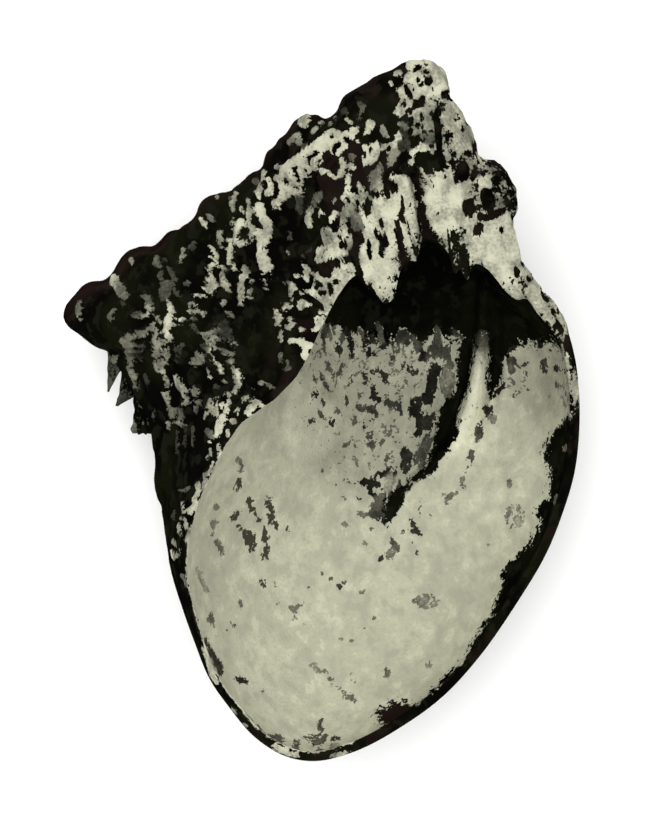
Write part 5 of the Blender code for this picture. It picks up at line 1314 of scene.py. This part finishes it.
# A blade's sections, from its root to its tip, hold the left and the right edge's x, then y and
# height. The fringe is how deep its end is notched. The measure of pale shell is given at the root and
# at the tip, with what the worn left edge adds to it.
SCALES = {
    "upper_scale": {
        "sections": [(-36.8, -33.4, 11.4, 16.6), (-36.8, -34.2, 7.6, 15.6), (-36.85, -35.6, 5.2, 14.8),
                     (-36.9, -36.6, 3.3, 14.0)],
        "thickness": 1.3, "fringe": 0.0, "shade": 0.66, "pale": (0.35, 0.2), "worn_edge": 0.0,
    },
    "middle_scale": {
        "sections": [(-34.4, -31.6, 6.8, 16.6), (-34.6, -31.6, 4.2, 15.8), (-35.0, -32.2, 2.5, 15.0),
                     (-35.3, -33.7, 1.6, 14.2), (-35.5, -35.1, 0.8, 13.5)],
        "thickness": 1.4, "fringe": 0.1, "shade": 0.80, "pale": (-0.9, 0.9), "worn_edge": 0.0,
    },
    "lower_scale": {
        "sections": [(-32.3, -27.6, 2.8, 17.0), (-32.2, -28.0, 0.4, 16.0), (-32.3, -28.2, -1.3, 15.0),
                     (-32.8, -28.4, -3.0, 14.0), (-32.7, -28.7, -4.2, 13.4)],
        "thickness": 1.6, "fringe": 0.8, "shade": 0.60, "pale": (-0.6, -0.9), "worn_edge": 1.6,
    },
}
BLADE_RINGS = 41
BLADE_SIDES = 64


def blade(sections, thickness, fringe):
    """A closed flat blade: rings of points, each a flat ellipse between its section's two edges, with
    ridges that run down it and an end notched by the fringe's depth. Its triangles, and how far along
    the blade each point is, come with it."""
    place = np.linspace(0.0, 1.0, BLADE_RINGS)[:, None]
    rows = np.arange(len(sections))
    left, right, y, z = (np.interp(place * rows[-1], rows, edge) for edge in np.array(sections).T)
    turn = np.linspace(0.0, 2 * math.pi, BLADE_SIDES, endpoint=False)
    x = (left + right) / 2 + (right - left) / 2 * np.cos(turn) * (1.0 + 0.05 * np.sin(place * 19.0 + left))
    notch = 0.6 * np.cos(x * 5.3) + 0.4 * np.cos(x * 9.1 + 1.0) + 1.0
    ridged = 1.0 + 0.16 * np.cos(x * 6.0 + place * 2.0)
    y = y + fringe * 0.5 * notch * place**3
    z = z + thickness / 2 * np.sin(turn) * ridged * (1.0 - 0.5 * place)
    shape = np.stack([x, y, z], axis=-1)
    numbers = np.arange(x.size).reshape(x.shape)
    triangles = [bridge(a, b) for a, b in zip(numbers[:-1], numbers[1:])]
    points = np.vstack([shape.reshape(-1, 3), shape[0].mean(axis=0), shape[-1].mean(axis=0)])
    first, last = numbers[0], numbers[-1]
    triangles.append(np.column_stack([np.full_like(first, x.size), np.roll(first, -1), first]))
    triangles.append(np.column_stack([np.full_like(last, x.size + 1), last, np.roll(last, -1)]))
    return points, np.concatenate(triangles), np.append(np.repeat(place, BLADE_SIDES), (0.0, 1.0))


for name, scale in SCALES.items():
    points, triangles, place = blade(scale["sections"], scale["thickness"], scale["fringe"])
    left_edge = smooth(-31.4, -32.1, points[:, 0]) * smooth(-1.0, -2.4, points[:, 1])
    same = {"grey": SURE, "shade": scale["shade"], "brown": -SURE, "rust": 0.0, "outside": 1.0,
            "streaky": 0.4, "painted_shading": 0.0}
    looks = {label: np.full(len(points), value) for label, value in same.items()}
    looks["pale"] = np.interp(place, (0.0, 1.0), scale["pale"]) + scale["worn_edge"] * left_edge
    hanging = piece(name, points, triangles, looks)
    hanging.data.materials.append(shell)
    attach(hanging, "root")

# The floor, light and camera
#
# A plain near-white floor just under the flat spot, a wide soft light from the upper left and an even
# fill, and a camera straight above with a long lens, as the photograph is framed. Lengths are in
# metres, but the lens and its sensor in millimetres.
FLOOR_HALF = 3.0
FLOOR_Z = -0.0002
KEY_PLACE = (-0.18, 0.22, 1.45)
KEY_SIZE = 1.2
KEY_POWER = 13.5
FILL_STRENGTH = 1.15
LENS = 300.0
SENSOR = 36.0
VIEW_HEIGHT = 0.1409
SUBJECT_HEIGHT = 0.030
CAMERA_X = 0.0018

corners = np.array([(-1, -1), (1, -1), (1, 1), (-1, 1)]) * FLOOR_HALF
floor_mesh = bpy.data.meshes.new("floor")
floor_mesh.from_pydata([(x, y, FLOOR_Z) for x, y in corners], [], [(0, 1, 2, 3)])
floor = bpy.data.objects.new("floor", floor_mesh)
bpy.context.scene.collection.objects.link(floor)
paper = bpy.data.materials.new("paper_white")
paper.use_nodes = True
paper_shader = paper.node_tree.nodes["Principled BSDF"]
paper_shader.inputs["Base Color"].default_value = (0.93, 0.93, 0.92, 1)
paper_shader.inputs["Roughness"].default_value = 0.9
floor_mesh.materials.append(paper)


def lamp(name, place, size, power):
    """A square area light at the given place, turned to face the valve."""
    data = bpy.data.lights.new(name, "AREA")
    data.size = size
    data.energy = power
    made = bpy.data.objects.new(name, data)
    made.location = place
    aim = np.array((0.0, 0.0, 0.02)) - np.array(place)
    made.rotation_mode = "XYZ"
    flat = math.hypot(aim[0], aim[1])
    made.rotation_euler = (math.atan2(flat, -aim[2]), 0.0, math.atan2(-aim[0], aim[1]))
    bpy.context.scene.collection.objects.link(made)


lamp("key", KEY_PLACE, KEY_SIZE, KEY_POWER)

world = bpy.data.worlds.new("studio")
world.use_nodes = True
world.node_tree.nodes["Background"].inputs["Color"].default_value = (1, 1, 1, 1)
world.node_tree.nodes["Background"].inputs["Strength"].default_value = FILL_STRENGTH
bpy.context.scene.world = world
bpy.context.scene.view_settings.view_transform = "Standard"

camera_data = bpy.data.cameras.new("overhead")
camera_data.lens = LENS
camera_data.sensor_width = SENSOR
camera = bpy.data.objects.new("overhead", camera_data)
camera.location = (CAMERA_X, 0.0, SUBJECT_HEIGHT + VIEW_HEIGHT * LENS / SENSOR)
bpy.context.scene.collection.objects.link(camera)
bpy.context.scene.camera = camera
